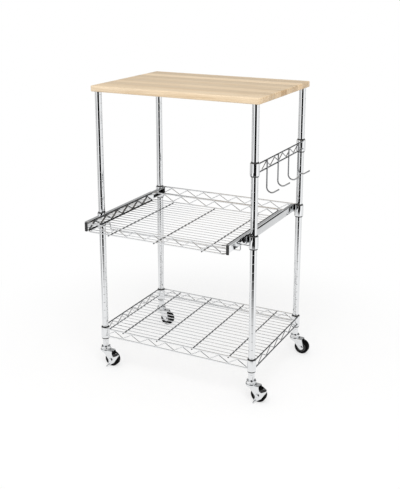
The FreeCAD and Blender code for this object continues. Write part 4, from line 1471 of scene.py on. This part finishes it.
@dataclass
class Hooks:
    """The hooks welded on the outside of the hook rack."""

    pitch: float = 80.0 * MM
    count: int = 4
    bend: float = 14.0 * MM
    rise_degrees: float = 33.0
    tip: float = 18.0 * MM
    steps: int = 16

    def hook(self, y: float) -> Surface:
        """A straight shaft, a bend below it and a tip that turns up and outwards.

        The bend is C + r (cos a, sin a), from a = 180 degrees on the shaft to the tip's rise.

        Args:
            y: place of the hook.

        Returns:
            The hook.
        """
        low, high = node_box("hooks")
        x, centre_z = TRUSS_X + 2 * TRUSS_WIRE, low[2] + self.bend + TRUSS_WIRE
        angle = np.linspace(math.pi, 1.5 * math.pi + math.radians(self.rise_degrees), self.steps)
        level = np.full(self.steps, y)
        bend = np.column_stack([x + self.bend + self.bend * np.cos(angle), level,
                                centre_z + self.bend * np.sin(angle)])
        along = np.column_stack([-np.sin(angle), 0 * level, np.cos(angle)])
        points = np.concatenate([[(x, y, high[2])], bend, [bend[-1] + self.tip * along[-1]]])
        tangents = np.concatenate([[-Z_AXIS], along, along[-1:]])
        return swept(points, tangents, Y_AXIS, TRUSS_WIRE, WIRE_SIDES)

    def build(self) -> None:
        """Makes the row of hooks."""
        hooks = [self.hook(y) for y in spread(self.count, self.pitch)]
        # The hooks take the greyed wire finish: a painted darker reflection.
        make_piece("hook_row", Surface.joined(hooks), "hooks", Finish.SIDE_WIRE)


@dataclass
class CasterStems:
    """What stays with the posts: upper race cups, hexagons, stems and rivet heads.

    Heights are counted from the floor. The rivet is a (radius, height) pair, and its rim a share
    of its height.
    """

    cup: float = 15.0 * MM
    cup_low: float = 51.2 * MM
    cup_high: float = 55.0 * MM
    cup_round: float = 1.2 * MM
    hexagon: float = 27.0 * MM
    overlap: float = 0.1 * MM
    shank: float = 4.0 * MM
    shank_inset: float = 1.0 * MM
    rivet: Pair = (7.5 * MM, 2.4 * MM)
    rivet_rim: float = 0.4

    def stem(self, place: np.ndarray) -> Surface:
        """The stem of one post, from the rivet head under the crown to the post's foot.

        Args:
            place: the post's axis in X and Y.

        Returns:
            The cup, the hexagon, the stem and the rivet head.
        """
        bottom, foot = node_box("caster_stems")[0][2], node_box("post_front_left")[0][2]
        axis = (*place, 0)
        cup = revolved(rounded_profile([(self.shank, self.cup_low), (self.cup, self.cup_low),
                                        (self.cup, self.cup_high), (self.shank, self.cup_high)],
                                       self.cup_round), axis, Z_AXIS, ring=True)
        nut_low = self.cup_high - self.overlap
        nut = hexagon_head(np.array([*place, nut_low]), Z_AXIS, self.hexagon, foot - nut_low)
        shank = revolved([(self.shank, bottom + self.shank_inset),
                          (self.shank, foot - self.shank_inset)], axis, Z_AXIS, segments=20)
        head = domed_head((*place, bottom + self.rivet[1]), -Z_AXIS, *self.rivet,
                          rim=self.rivet_rim, segments=32)
        return Surface.joined([cup, nut, shank, head])

    def build(self) -> None:
        """Makes the four stems as one piece."""
        stems = [self.stem(POST_PLACE[c]) for c in CORNERS]
        make_piece("caster_stem_bolts", Surface.joined(stems), "caster_stems")


@dataclass
class Fork:
    """A swivelling fork: a dished crown and one strip of sheet bent down to the axle."""

    corner: str
    sheet: float = 2.0 * MM
    sheet_edge: float = 0.3 * MM
    boss: float = 8.0 * MM
    boss_degrees: Pair = (6.0, 96.0)
    boss_steps: int = 12
    plate_back: float = 8.0 * MM
    plate_front: float = 27.0 * MM
    plate_sunk: float = 0.3 * MM
    bend: float = 3.0 * MM
    crown: float = 16.5 * MM
    crown_thick: float = 4.0 * MM
    crown_edge: float = 0.7 * MM
    crown_flat: float = 11.2 * MM
    skirt: float = 4.5 * MM
    crown_soft: float = 0.21 * MM
    skirt_least: float = 0.3 * MM
    skirt_taper: float = 3.0 * MM
    skirt_bore: float = 12.0 * MM
    stem_bore: float = 5.2 * MM
    wheel_room: float = 24.0 * MM
    shank: float = 4.0 * MM
    head_thick: float = 3.2 * MM
    head_across: float = 10.4 * MM
    head_overlap: float = 0.1 * MM
    lever_room: float = 2.4 * MM

    def __post_init__(self) -> None:
        """Takes the places of the swivel and the axle from the frame."""
        self.swivel = POST_PLACE[self.corner]
        self.axle = node_centre("wheel_tyre_" + self.corner)
        self.top = joint_place("caster_swivel_" + self.corner)[2]

    def edge_at(self, height: np.ndarray, side: int, at_top: float) -> np.ndarray:
        """X of the strip's front or rear edge, counted from the axle.

        Below the point of contact the edge is on the boss, x = s sqrt(R^2 - z^2). Above it, it is
        the straight line from there to the strip's corner at the top.

        Args:
            height: heights above the axle.
            side: 1 for the edge at +X, -1 for the other.
            at_top: X of the corner at the top, counted from the axle.

        Returns:
            The X values.
        """
        rise = self.top - self.axle[2]
        span = math.hypot(at_top, rise)
        angle = math.atan2(rise, at_top) - side * math.acos(self.boss / span)
        touch = self.boss * np.array([math.cos(angle), math.sin(angle)])
        share = (height - touch[1]) / (rise - touch[1])
        line = touch[0] + share * (at_top - touch[0])
        round_part = side * np.sqrt(np.clip(self.boss ** 2 - height ** 2, 0, None))
        return np.where(height < touch[1], round_part, line)

    def strip(self) -> Surface:
        """The bent strip: a flat section carried up one leg, across and down the other.

        P(s, k) = C(s) + x_k(s) X + n_k N(s), with C the middle line in Y and Z, N its normal, and
        (x_k, n_k) the corners of a section that runs from edge to edge.

        Returns:
            The closed surface.
        """
        half = self.sheet / 2
        leg = self.leg - half
        turn = np.radians(np.linspace(*self.boss_degrees, self.boss_steps))
        leg_z = self.axle[2] - self.boss * np.cos(turn)
        flat = self.top - self.plate_sunk - half
        corners = [(-leg, leg_z[-1]), (-leg, flat), (leg, flat), (leg, leg_z[-1])]
        bent, tangents = flat_path(corners, self.bend, steps=8)
        up = np.column_stack([np.full(len(leg_z) - 1, -leg), leg_z[:-1]])
        middle = np.concatenate([up, bent, up[::-1] * (-1, 1)])
        tangents = np.concatenate([np.tile((0.0, 1.0), (len(up), 1)), tangents,
                                   np.tile((0.0, -1.0), (len(up), 1))])
        normal = np.stack([-tangents[:, 1], tangents[:, 0]], -1)
        height = middle[:, 1] - self.axle[2]
        from_axle = self.swivel[0] - self.axle[0]
        rear = self.edge_at(height, -1, from_axle - self.plate_back)
        front = self.edge_at(height, 1, from_axle + self.plate_front)
        ease = self.sheet_edge
        x = np.stack([rear, rear, rear + ease, front - ease, front, front, front - ease,
                      rear + ease], -1)
        n = np.array([-half + ease, half - ease, half, half, half - ease, -half + ease, -half,
                      -half])
        grid = np.empty((len(middle), len(n), 3))
        grid[..., 0] = self.axle[0] + x
        grid[..., 1:] = middle[:, None] + n[:, None] * normal[:, None]
        grid[..., 1] += self.swivel[1]
        return Surface.grid(grid).outward()

    @property
    def leg(self) -> float:
        """Outer face of a leg, from the middle of the wheel."""
        return self.axle[1] - node_box("wheel_axle_" + self.corner)[0][1] - self.head_reach

    @property
    def head_reach(self) -> float:
        """How far the front axle head stands off the leg: further where a brake lever is."""
        return self.head_thick + (self.lever_room if self.corner.startswith("front") else 0.0)

    def dish(self) -> Surface:
        """The crown: a ring about the swivel whose skirt stops short of the wheel.

        The skirt's lower edge is z = max(z0, za + sqrt(R^2 - (x - xa)^2)), with R the radius kept
        clear round the axle at (xa, za).

        Returns:
            The closed surface.
        """
        t = full_turn(steps=72)
        under, ease, crown = self.top - self.crown_thick, self.crown_edge, self.crown
        x = self.swivel[0] + crown * np.cos(t) - self.axle[0]
        clear = self.axle[2] + np.sqrt(np.clip(self.wheel_room ** 2 - x ** 2, 0, None))
        edge = np.clip(clear, under - self.skirt, under - self.skirt_least)
        outer = crown - self.skirt_taper * (under - edge) / self.skirt
        section = [(self.stem_bore, under), (self.skirt_bore, under), (self.skirt_bore, edge),
                   (outer, edge), (crown, under), (crown, self.top - ease),
                   (crown - self.crown_soft, self.top - self.crown_soft), (crown - ease, self.top),
                   (self.crown_flat, self.top), (self.stem_bore, self.top)]
        radius, z = (np.array([np.broadcast_to(point[k], t.shape) for point in section])
                     for k in (0, 1))
        grid = np.stack([self.swivel[0] + radius * np.cos(t), self.swivel[1] + radius * np.sin(t),
                         z], -1)
        return Surface.grid(grid, round_u=True).outward()

    def bolt(self) -> Surface:
        """The axle bolt with a hexagon at each end.

        Returns:
            The shank and both hexagons.
        """
        low, high = node_box("wheel_axle_" + self.corner)
        x, z = self.axle[0], self.axle[2]
        front, rear = low[1] + self.head_thick, high[1] - self.head_thick
        shank = revolved([(self.shank, front - self.head_overlap),
                          (self.shank, rear + self.head_overlap)], (x, 0, z), Y_AXIS, segments=24)
        heads = [hexagon_head(np.array([x, y, z]), way * Y_AXIS, self.head_across, self.head_thick)
                 for y, way in ((front, -1.0), (rear, 1.0))]
        return Surface.joined([shank, *heads])

    def build(self) -> None:
        """Makes the fork and its axle bolt."""
        make_piece("fork_sheet_" + self.corner, Surface.joined([self.strip(), self.dish()]),
                   "caster_fork_" + self.corner)
        make_piece("axle_bolt_" + self.corner, self.bolt(), "wheel_axle_" + self.corner)


@dataclass
class Wheel:
    """A tyre with round shoulders on a dished hub with ribs.

    The edges of the web and of the rim, and the ribs' outer ends, are counted in quarters of the
    way from the boss to the rim. The ribs rise from a share of the web's height.
    """

    corner: str
    rim: float = 14.5 * MM
    shoulder: float = 3.0 * MM
    groove_from: float = 2.2 * MM
    groove_half: float = 0.5 * MM
    groove_deep: float = 0.4 * MM
    boss: float = 8.0 * MM
    boss_edge: float = 0.5 * MM
    bore: float = 4.06 * MM
    bore_edge: float = 0.4 * MM
    hub_proud: float = 0.5 * MM
    dish: float = 2.0 * MM
    web: Pair = (0.6, 2.4)
    rim_edge: Pair = (3.0, 3.2)
    rim_drop: float = 0.2 * MM
    ribs: int = 8
    rib: float = 1.2 * MM
    rib_round: float = 0.36 * MM
    rib_root: float = 7.6 * MM
    rib_end: float = 2.8
    rib_sunk: float = 0.9
    rib_below: float = 0.4 * MM
    rib_edge: float = 0.2 * MM

    def tyre(self, centre: np.ndarray, radius: float, half: float) -> Surface:
        """The tyre: a flat tread, round shoulders and a shallow groove round each side.

        Args:
            centre: middle of the wheel.
            radius: the tread's radius.
            half: half the tyre's width.

        Returns:
            The closed surface.
        """
        groove = self.rim + self.groove_from
        shoulder = arc((radius - self.shoulder, half - self.shoulder), self.shoulder, 0, 90,
                       steps=8)
        side = np.concatenate([shoulder, [
            (groove + 2 * self.groove_half, half), (groove + self.groove_half,
                                                    half - self.groove_deep),
            (groove, half), (self.rim, half)]])
        return revolved(both_sides(side), centre, Y_AXIS, segments=64, ring=True)

    def hub(self, centre: np.ndarray, half: float) -> Surface:
        """The hub: bore, boss, a dished web and the rim under the tyre, with radial ribs.

        Args:
            centre: middle of the wheel.
            half: half the rim's width.

        Returns:
            The hub and its ribs.
        """
        proud, deep = half + self.hub_proud, half - self.dish
        quarter = (self.rim - self.boss) / 4
        web, rim_edge = (self.boss + quarter * np.array(pair) for pair in (self.web, self.rim_edge))
        side = [
            (self.bore, proud - self.bore_edge), (self.bore + self.bore_edge, proud),
            (self.boss - self.boss_edge, proud), (self.boss, proud - self.boss_edge),
            (web[0], deep), (web[1], deep), (rim_edge[0], half - self.rim_drop),
            (rim_edge[1], half), (self.rim, half)]
        parts = [revolved(both_sides(side), centre, Y_AXIS, segments=56, ring=True)]
        reach = (self.boss + quarter * self.rib_end - self.rib_root) / 2
        root = deep * self.rib_sunk
        outline = rounded_rectangle((reach, self.rib / 2), self.rib_round, steps=2)
        for turn in np.arange(self.ribs) * TAU / self.ribs:
            spoke = math.cos(turn) * X_AXIS + math.sin(turn) * Z_AXIS
            for outwards in (-Y_AXIS, Y_AXIS):
                start = centre + spoke * (self.rib_root + reach) + outwards * root
                parts.append(extruded(outline, start, spoke, np.cross(Y_AXIS, spoke),
                                      outwards * (half - self.rib_below - root), self.rib_edge))
        return Surface.joined(parts)

    def build(self) -> None:
        """Makes the tyre and the hub."""
        centre = node_centre("wheel_tyre_" + self.corner)
        low, high = node_box("wheel_hub_" + self.corner)
        half = (high[1] - low[1]) / 2 - self.hub_proud
        make_piece("tyre_" + self.corner, self.tyre(centre, centre[2], half),
                   "wheel_tyre_" + self.corner)
        make_piece("hub_" + self.corner, self.hub(centre, half), "wheel_hub_" + self.corner)


@dataclass
class Brake:
    """A pressed brake lever on a caster's axle bolt, with a toe tab and a ribbed foot pad.

    Places on it are counted from the axle along X and Z.
    """

    corner: str
    thick: float = 1.8 * MM
    edge: float = 0.35 * MM
    boss: float = 6.5 * MM
    belly: Pair = (5.0 * MM, -1.0 * MM)
    belly_radius: float = 9.5 * MM
    toe: Pair = (-5.5 * MM, -15.5 * MM)
    toe_radius: float = 3.5 * MM
    heel: Pair = (23.0 * MM, 20.5 * MM)
    heel_radius: float = 6.5 * MM
    tab: Triple = (-2.5 * MM, -10.0 * MM, -3.5 * MM)
    tab_radius: float = 2.2 * MM
    tab_from: float = 1.0 * MM
    tab_beyond: float = 1.98 * MM
    pad_near: Pair = (13.5 * MM, 17.5 * MM)
    pad_far: Pair = (24.5 * MM, 23.5 * MM)
    pad_radius: float = 4.3 * MM
    pad_base: float = 3.7 * MM
    pad_edge: float = 0.8 * MM
    ribs: int = 5
    rib_pitch: float = 2.7 * MM
    rib_half: Pair = (0.6 * MM, 3.182 * MM)
    rib_round: float = 0.45 * MM
    rib_edge: float = 0.25 * MM
    rib_sunk: float = 0.3 * MM
    coarse_steps: int = 72
    fine_stretch: float = 0.42
    fine_steps: int = 29

    def disc_reach(self, turn: np.ndarray, centre: np.ndarray, radius: float) -> np.ndarray:
        """Distance to a circle's rim: D cos a + sqrt(r^2 - D^2 sin^2 a).

        D is the distance to the circle's centre, and a the angle off it.

        Args:
            turn: directions, in radians.
            centre: the circle's centre.
            radius: the circle's radius r.

        Returns:
            The distances.
        """
        length = float(np.hypot(*centre))
        off = turn - math.atan2(centre[1], centre[0])
        beyond = radius ** 2 - (length * np.sin(off)) ** 2
        return length * np.cos(off) + np.sqrt(np.clip(beyond, 0, None))

    def link_reach(self, turn: np.ndarray, end: np.ndarray, radius: float) -> np.ndarray:
        """Distance from the belly's centre to the rim of a link that ends in a circle.

        With a the angle off the link's line, D its length, R and r the radii of belly and end, and
        t = acos((R - r) / D): the rim is the belly, R, for a > t; the straight side R / cos(a - t)
        down to the side's touching point on the end; and from there the end's own circle.

        Args:
            turn: directions, in radians.
            end: centre of the link's end, from the belly's centre.
            radius: radius of the end.

        Returns:
            The distances.
        """
        length = float(np.hypot(*end))
        off = np.abs((turn - math.atan2(end[1], end[0]) + math.pi) % TAU - math.pi)
        lean = math.acos((self.belly_radius - radius) / length)
        touch = math.atan2(radius * math.sin(lean), length + radius * math.cos(lean))
        side = self.belly_radius / np.cos(np.minimum(off, lean) - lean)
        return np.where(off > lean, self.belly_radius,
                        np.where(off > touch, side, self.disc_reach(turn, end, radius)))

    def outline(self) -> np.ndarray:
        """The lever's outline: the furthest of its two links and its boss in each direction.

        Returns:
            The outline, with finer steps round the toe and the heel.
        """
        toe, heel, boss = (np.subtract(place, self.belly) for place in
                           (self.toe, self.heel, (0.0, 0.0)))
        stretch = np.linspace(-self.fine_stretch, self.fine_stretch, self.fine_steps)
        fine = [math.atan2(end[1], end[0]) + stretch for end in (toe, heel)]
        turn = np.unique(np.concatenate([full_turn(self.coarse_steps) - math.pi, *fine]))
        far = np.max([self.link_reach(turn, toe, self.toe_radius),
                      self.link_reach(turn, heel, self.heel_radius),
                      self.disc_reach(turn, boss, self.boss)], axis=0)
        return self.belly + far[:, None] * np.stack([np.cos(turn), np.sin(turn)], -1)

    def lever(self, origin: np.ndarray) -> Surface:
        """The plate and the round tab that stands out from its toe.

        Args:
            origin: the axle's place on the plate's outer face.

        Returns:
            Both as one surface.
        """
        plate = extruded(self.outline(), origin, X_AXIS, Z_AXIS, Y_AXIS * self.thick, self.edge)
        root = origin + (self.toe[0], self.thick / 2, self.toe[1])
        way = unit(np.array(self.tab))
        points = np.stack([root + way * self.tab_from, root + self.tab + way * self.tab_beyond])
        tab = swept(points, np.stack([way, way]), unit(np.cross(way, Z_AXIS)), self.tab_radius,
                    sides=14)
        return Surface.joined([plate, tab])

    def pad(self, origin: np.ndarray, thick: float) -> Surface:
        """A rounded pad with ribs across it.

        Args:
            origin: the axle's place on the face that the pad lies on.
            thick: thickness of the pad with its ribs.

        Returns:
            The pad.
        """
        near, far = np.array(self.pad_near), np.array(self.pad_far)
        parts = [extruded(stadium(near, far, self.pad_radius), origin, X_AXIS, Z_AXIS,
                          -Y_AXIS * self.pad_base, self.pad_edge)]
        along = unit(np.array([far[0] - near[0], 0.0, far[1] - near[1]]))
        bar = rounded_rectangle(self.rib_half, self.rib_round, steps=3)
        root = self.pad_base - self.rib_sunk
        middle = origin + ((near[0] + far[0]) / 2, -root, (near[1] + far[1]) / 2)
        for step in spread(self.ribs, self.rib_pitch):
            parts.append(extruded(bar, middle + along * step, along, np.cross(Y_AXIS, along),
                                  -Y_AXIS * (thick - root), self.rib_edge))
        return Surface.joined(parts)

    def build(self) -> None:
        """Makes the lever and its pad."""
        axle = node_centre("wheel_tyre_" + self.corner)
        pad_low, pad_high = node_box("brake_pad_" + self.corner)
        origin = np.array([axle[0], pad_high[1], axle[2]])
        make_piece("lever_" + self.corner, self.lever(origin), "brake_lever_" + self.corner)
        make_piece("foot_pad_" + self.corner, self.pad(origin, pad_high[1] - pad_low[1]),
                   "brake_pad_" + self.corner)


def dress_hidden_nodes() -> None:
    """Gives the finishes of their slots to the nodes that keep the frame's own mesh."""
    for node in ("board_inserts", "post_end_plugs", "swivel_ball_rings"):
        mesh = frame["nodes"][node].data
        mesh.materials.clear()
        mesh.materials.append(FINISH_OF_SLOT[SLOT_OF_NODE[node]].get())
        LOG.info("%s keeps its own mesh", node)


# ---- studio ---------------------------------------------------------------------------------
@dataclass
class Studio:
    """Floor, lights, surroundings and camera.

    An angle about the cart is counted from the side that faces the viewer, positive to the
    viewer's right. The panels are the (angle, tone) stops of the ring that shiny faces pick up.
    """

    low_panels: tuple[Pair, ...] = (
        (-180, 0.03), (-137, 0.03), (-130, 1.05), (-100, 1.05), (-95, 0.38), (-66, 0.38),
        (-62, 1.2), (-34, 1.2), (-31, 0.01), (31, 0.01), (34, 1.2), (60, 1.2), (66, 0.98),
        (98, 0.98), (104, 0.92), (141, 0.92), (149, 0.03), (180, 0.03))
    high_panels: tuple[Pair, ...] = (
        (-180, 0.42), (-168, 0.34), (-158, 0.02), (-125, 0.02), (-115, 1.0), (-36, 1.0),
        (-31, 0.01), (31, 0.01), (36, 1.0), (95, 1.0), (105, 0.02), (158, 0.02), (168, 0.34),
        (180, 0.42))
    horizon: Pair = (-0.04, 0.04)
    ceiling: float = 0.30
    ceiling_rise: Pair = (0.74, 0.86)
    floor_radius: float = 1.9
    floor_points: int = 96
    floor_tone: float = 0.96
    floor_clean: float = 0.6
    floor_fade: Pair = (0.45, 1.0)
    floor_far: Pair = (0.45, 1.35)
    key_power: float = 54.0
    key_size: Pair = (2.2, 1.6)
    key_place: Triple = (0.83, -1.80, 3.15)
    key_aim: Triple = (0.0, 0.0, 0.45)
    surround: float = 0.75
    azimuth: float = 27.129
    elevation: float = 14.736
    place: Triple = (1.10258, -2.16579, 1.19777)
    lens: float = 61.870
    sensor: float = 36.0
    shift: float = -0.12

    def ring(self, nodes: NodeTree, toward: Socket, panels: tuple[Pair, ...]) -> Socket:
        """Tone of the ring of panels in a direction.

        The direction's angle, atan2(y, x) once it is turned so that the viewer's side is +x,
        runs from 0 to 1 over the full circle and picks the tone from the stops.

        Args:
            nodes: the tree to add to.
            toward: the direction.
            panels: the (angle, tone) stops.

        Returns:
            The tone.
        """
        turned = nodes.add("ShaderNodeMapping", {"Vector": toward, "Rotation": (
            0.0, 0.0, math.radians(90 - self.azimuth))}).outputs[0]
        axes = nodes.split(turned)
        angle = nodes.maths("ARCTAN2", axes["Y"], axes["X"])
        share = nodes.mapped(angle, (-math.pi, math.pi))
        return nodes.ramp(share, [((a + 180) / 360, (tone,) * 3) for a, tone in panels])

    def seen(self, nodes: NodeTree) -> tuple[Socket, Socket]:
        """Tells where a ray comes from.

        Args:
            nodes: the tree to add to.

        Returns:
            1 for a ray from a shiny or clear face, and 1 for one from such a face or the camera.
        """
        path = nodes.add("ShaderNodeLightPath").outputs
        shiny = nodes.maths("MAXIMUM", path["Is Glossy Ray"], path["Is Transmission Ray"])
        return shiny, nodes.maths("MAXIMUM", path["Is Camera Ray"], shiny)

    def smooth(self, nodes: NodeTree, value: Socket, limits: Pair) -> Socket:
        """Rises smoothly from 0 to 1 as the value goes from the first limit to the second."""
        return nodes.mapped(value, limits, interpolation_type="SMOOTHSTEP")

    def blend(self, nodes: NodeTree, share: Socket, first: object,
              second: object) -> Socket:
        """First tone where the share is 0, second where it is 1."""
        return nodes.add("ShaderNodeMix", {0: share, 2: first, 3: second}).outputs[0]

    def floor(self) -> None:
        """A pale round floor that goes over to plain white away from the cart.

        Shiny faces see it go over to the ring of panels instead, as the floor of a studio does
        where the light ends.
        """
        t = full_turn(self.floor_points)
        disc = self.floor_radius * np.column_stack([np.cos(t), np.sin(t), np.zeros(len(t))])
        mesh = bpy.data.meshes.new("floor")
        mesh.from_pydata(disc.tolist(), [], [list(range(len(t)))])
        floor = placed("floor", mesh)
        made, nodes, place = new_material("floor_white")
        axes = nodes.split(place)
        flat = nodes.add("ShaderNodeCombineXYZ", {"X": axes["X"], "Y": axes["Y"]}).outputs[0]
        away = nodes.add("ShaderNodeVectorMath", {0: flat}, operation="LENGTH").outputs["Value"]
        shiny, plain = self.seen(nodes)
        far = nodes.maths("MULTIPLY", self.smooth(nodes, away, self.floor_far), shiny)
        tone = self.blend(nodes, far, 1.0, self.ring(nodes, flat, self.low_panels))
        painted = nodes.add("ShaderNodeBsdfDiffuse", {"Color": (self.floor_tone,) * 3 + (1.0,)})
        white = nodes.add("ShaderNodeEmission", {"Color": (1.0, 1.0, 1.0, 1.0), "Strength": tone})
        fade = self.blend(nodes, self.smooth(nodes, away, self.floor_fade), self.floor_clean, 1.0)
        mixed = nodes.add("ShaderNodeMixShader", {0: nodes.maths("MULTIPLY", fade, plain),
                                                  1: painted.outputs[0], 2: white.outputs[0]})
        nodes.add("ShaderNodeOutputMaterial", {"Surface": mixed.outputs[0]})
        mesh.materials.append(made)

    def lights(self) -> None:
        """One broad soft lamp on the viewer's side, above the worktop."""
        lamp = bpy.data.lights.new("key", "AREA")
        lamp.shape, (lamp.size, lamp.size_y) = "RECTANGLE", self.key_size
        lamp.energy = self.key_power
        key = placed("key", lamp)
        key.location = self.key_place
        key.visible_glossy = False
        aim(key, Vector(self.key_aim) - key.location)

    def surroundings(self) -> None:
        """White to the viewer; to shiny faces, a ring of panels under a dimmer ceiling."""
        world = bpy.data.worlds.new("studio")
        world.use_nodes = True
        bpy.context.scene.world = world
        nodes = NodeTree(world.node_tree)
        toward = nodes.add("ShaderNodeTexCoord").outputs["Generated"]
        height = nodes.split(toward)["Z"]
        walls = self.blend(nodes, self.smooth(nodes, height, self.horizon),
                           self.ring(nodes, toward, self.low_panels),
                           self.ring(nodes, toward, self.high_panels))
        room = self.blend(nodes, self.smooth(nodes, height, self.ceiling_rise), walls,
                          self.ceiling)
        shiny, plain = self.seen(nodes)
        shown = self.blend(nodes, shiny, 1.0, room)
        back = nodes.add("ShaderNodeBackground", {
            "Color": (1.0, 1.0, 1.0, 1.0),
            "Strength": self.blend(nodes, plain, self.surround, shown)})
        nodes.add("ShaderNodeOutputWorld", {"Surface": back.outputs[0]})

    def camera(self) -> None:
        """The camera, to the right of the front and above the middle."""
        data = bpy.data.cameras.new("camera")
        data.lens, data.sensor_width, data.shift_y = self.lens, self.sensor, self.shift
        camera = placed("camera", data)
        a, e = math.radians(self.azimuth), math.radians(self.elevation)
        ahead = Vector((-math.sin(a) * math.cos(e), math.cos(a) * math.cos(e), -math.sin(e)))
        camera.location = self.place
        aim(camera, ahead)
        bpy.context.scene.camera = camera

    def build(self) -> None:
        """Makes the whole studio."""
        self.floor()
        self.lights()
        self.surroundings()
        self.camera()
        bpy.context.scene.view_settings.view_transform = "Standard"


# ---- the cart -------------------------------------------------------------------------------
def cart() -> list:
    """Lists the cart's sub-assemblies.

    Returns:
        Every sub-assembly, in the order in which it is built.
    """
    return [
        Worktop(),
        *(Post(corner) for corner in CORNERS),
        Level("shelf"),
        Level("drawer_frame"),
        Level("hook_rack", corners=("front_right", "rear_right")),
        FrameTruss("shelf_front_and_rear_trusses", True, False, (-TRUSS_Y, TRUSS_Y)),
        # The side trusses take the greyed wire finish: a painted darker reflection.
        FrameTruss("shelf_side_trusses", False, True, (-TRUSS_X, TRUSS_X),
                   Finish.SIDE_WIRE),
        FrameTruss("drawer_frame_rear_truss", True, False, (TRUSS_Y,)),
        FrameTruss("hook_rack_truss", False, True, (TRUSS_X,), Finish.SIDE_WIRE),
        shelf_mat(),
        Tray(),
        Slides(),
        FrontTie(),
        Hooks(),
        CasterStems(),
        *(Fork(corner) for corner in CORNERS),
        *(Wheel(corner) for corner in CORNERS),
        *(Brake(corner) for corner in CORNERS if corner.startswith("front")),
    ]


def main() -> None:
    """Builds the cart and the studio."""
    logging.basicConfig(level=logging.INFO, format="%(message)s")
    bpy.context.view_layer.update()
    for part in cart():
        part.build()
    dress_hidden_nodes()
    Studio().build()


if __name__ == "__main__":
    main()
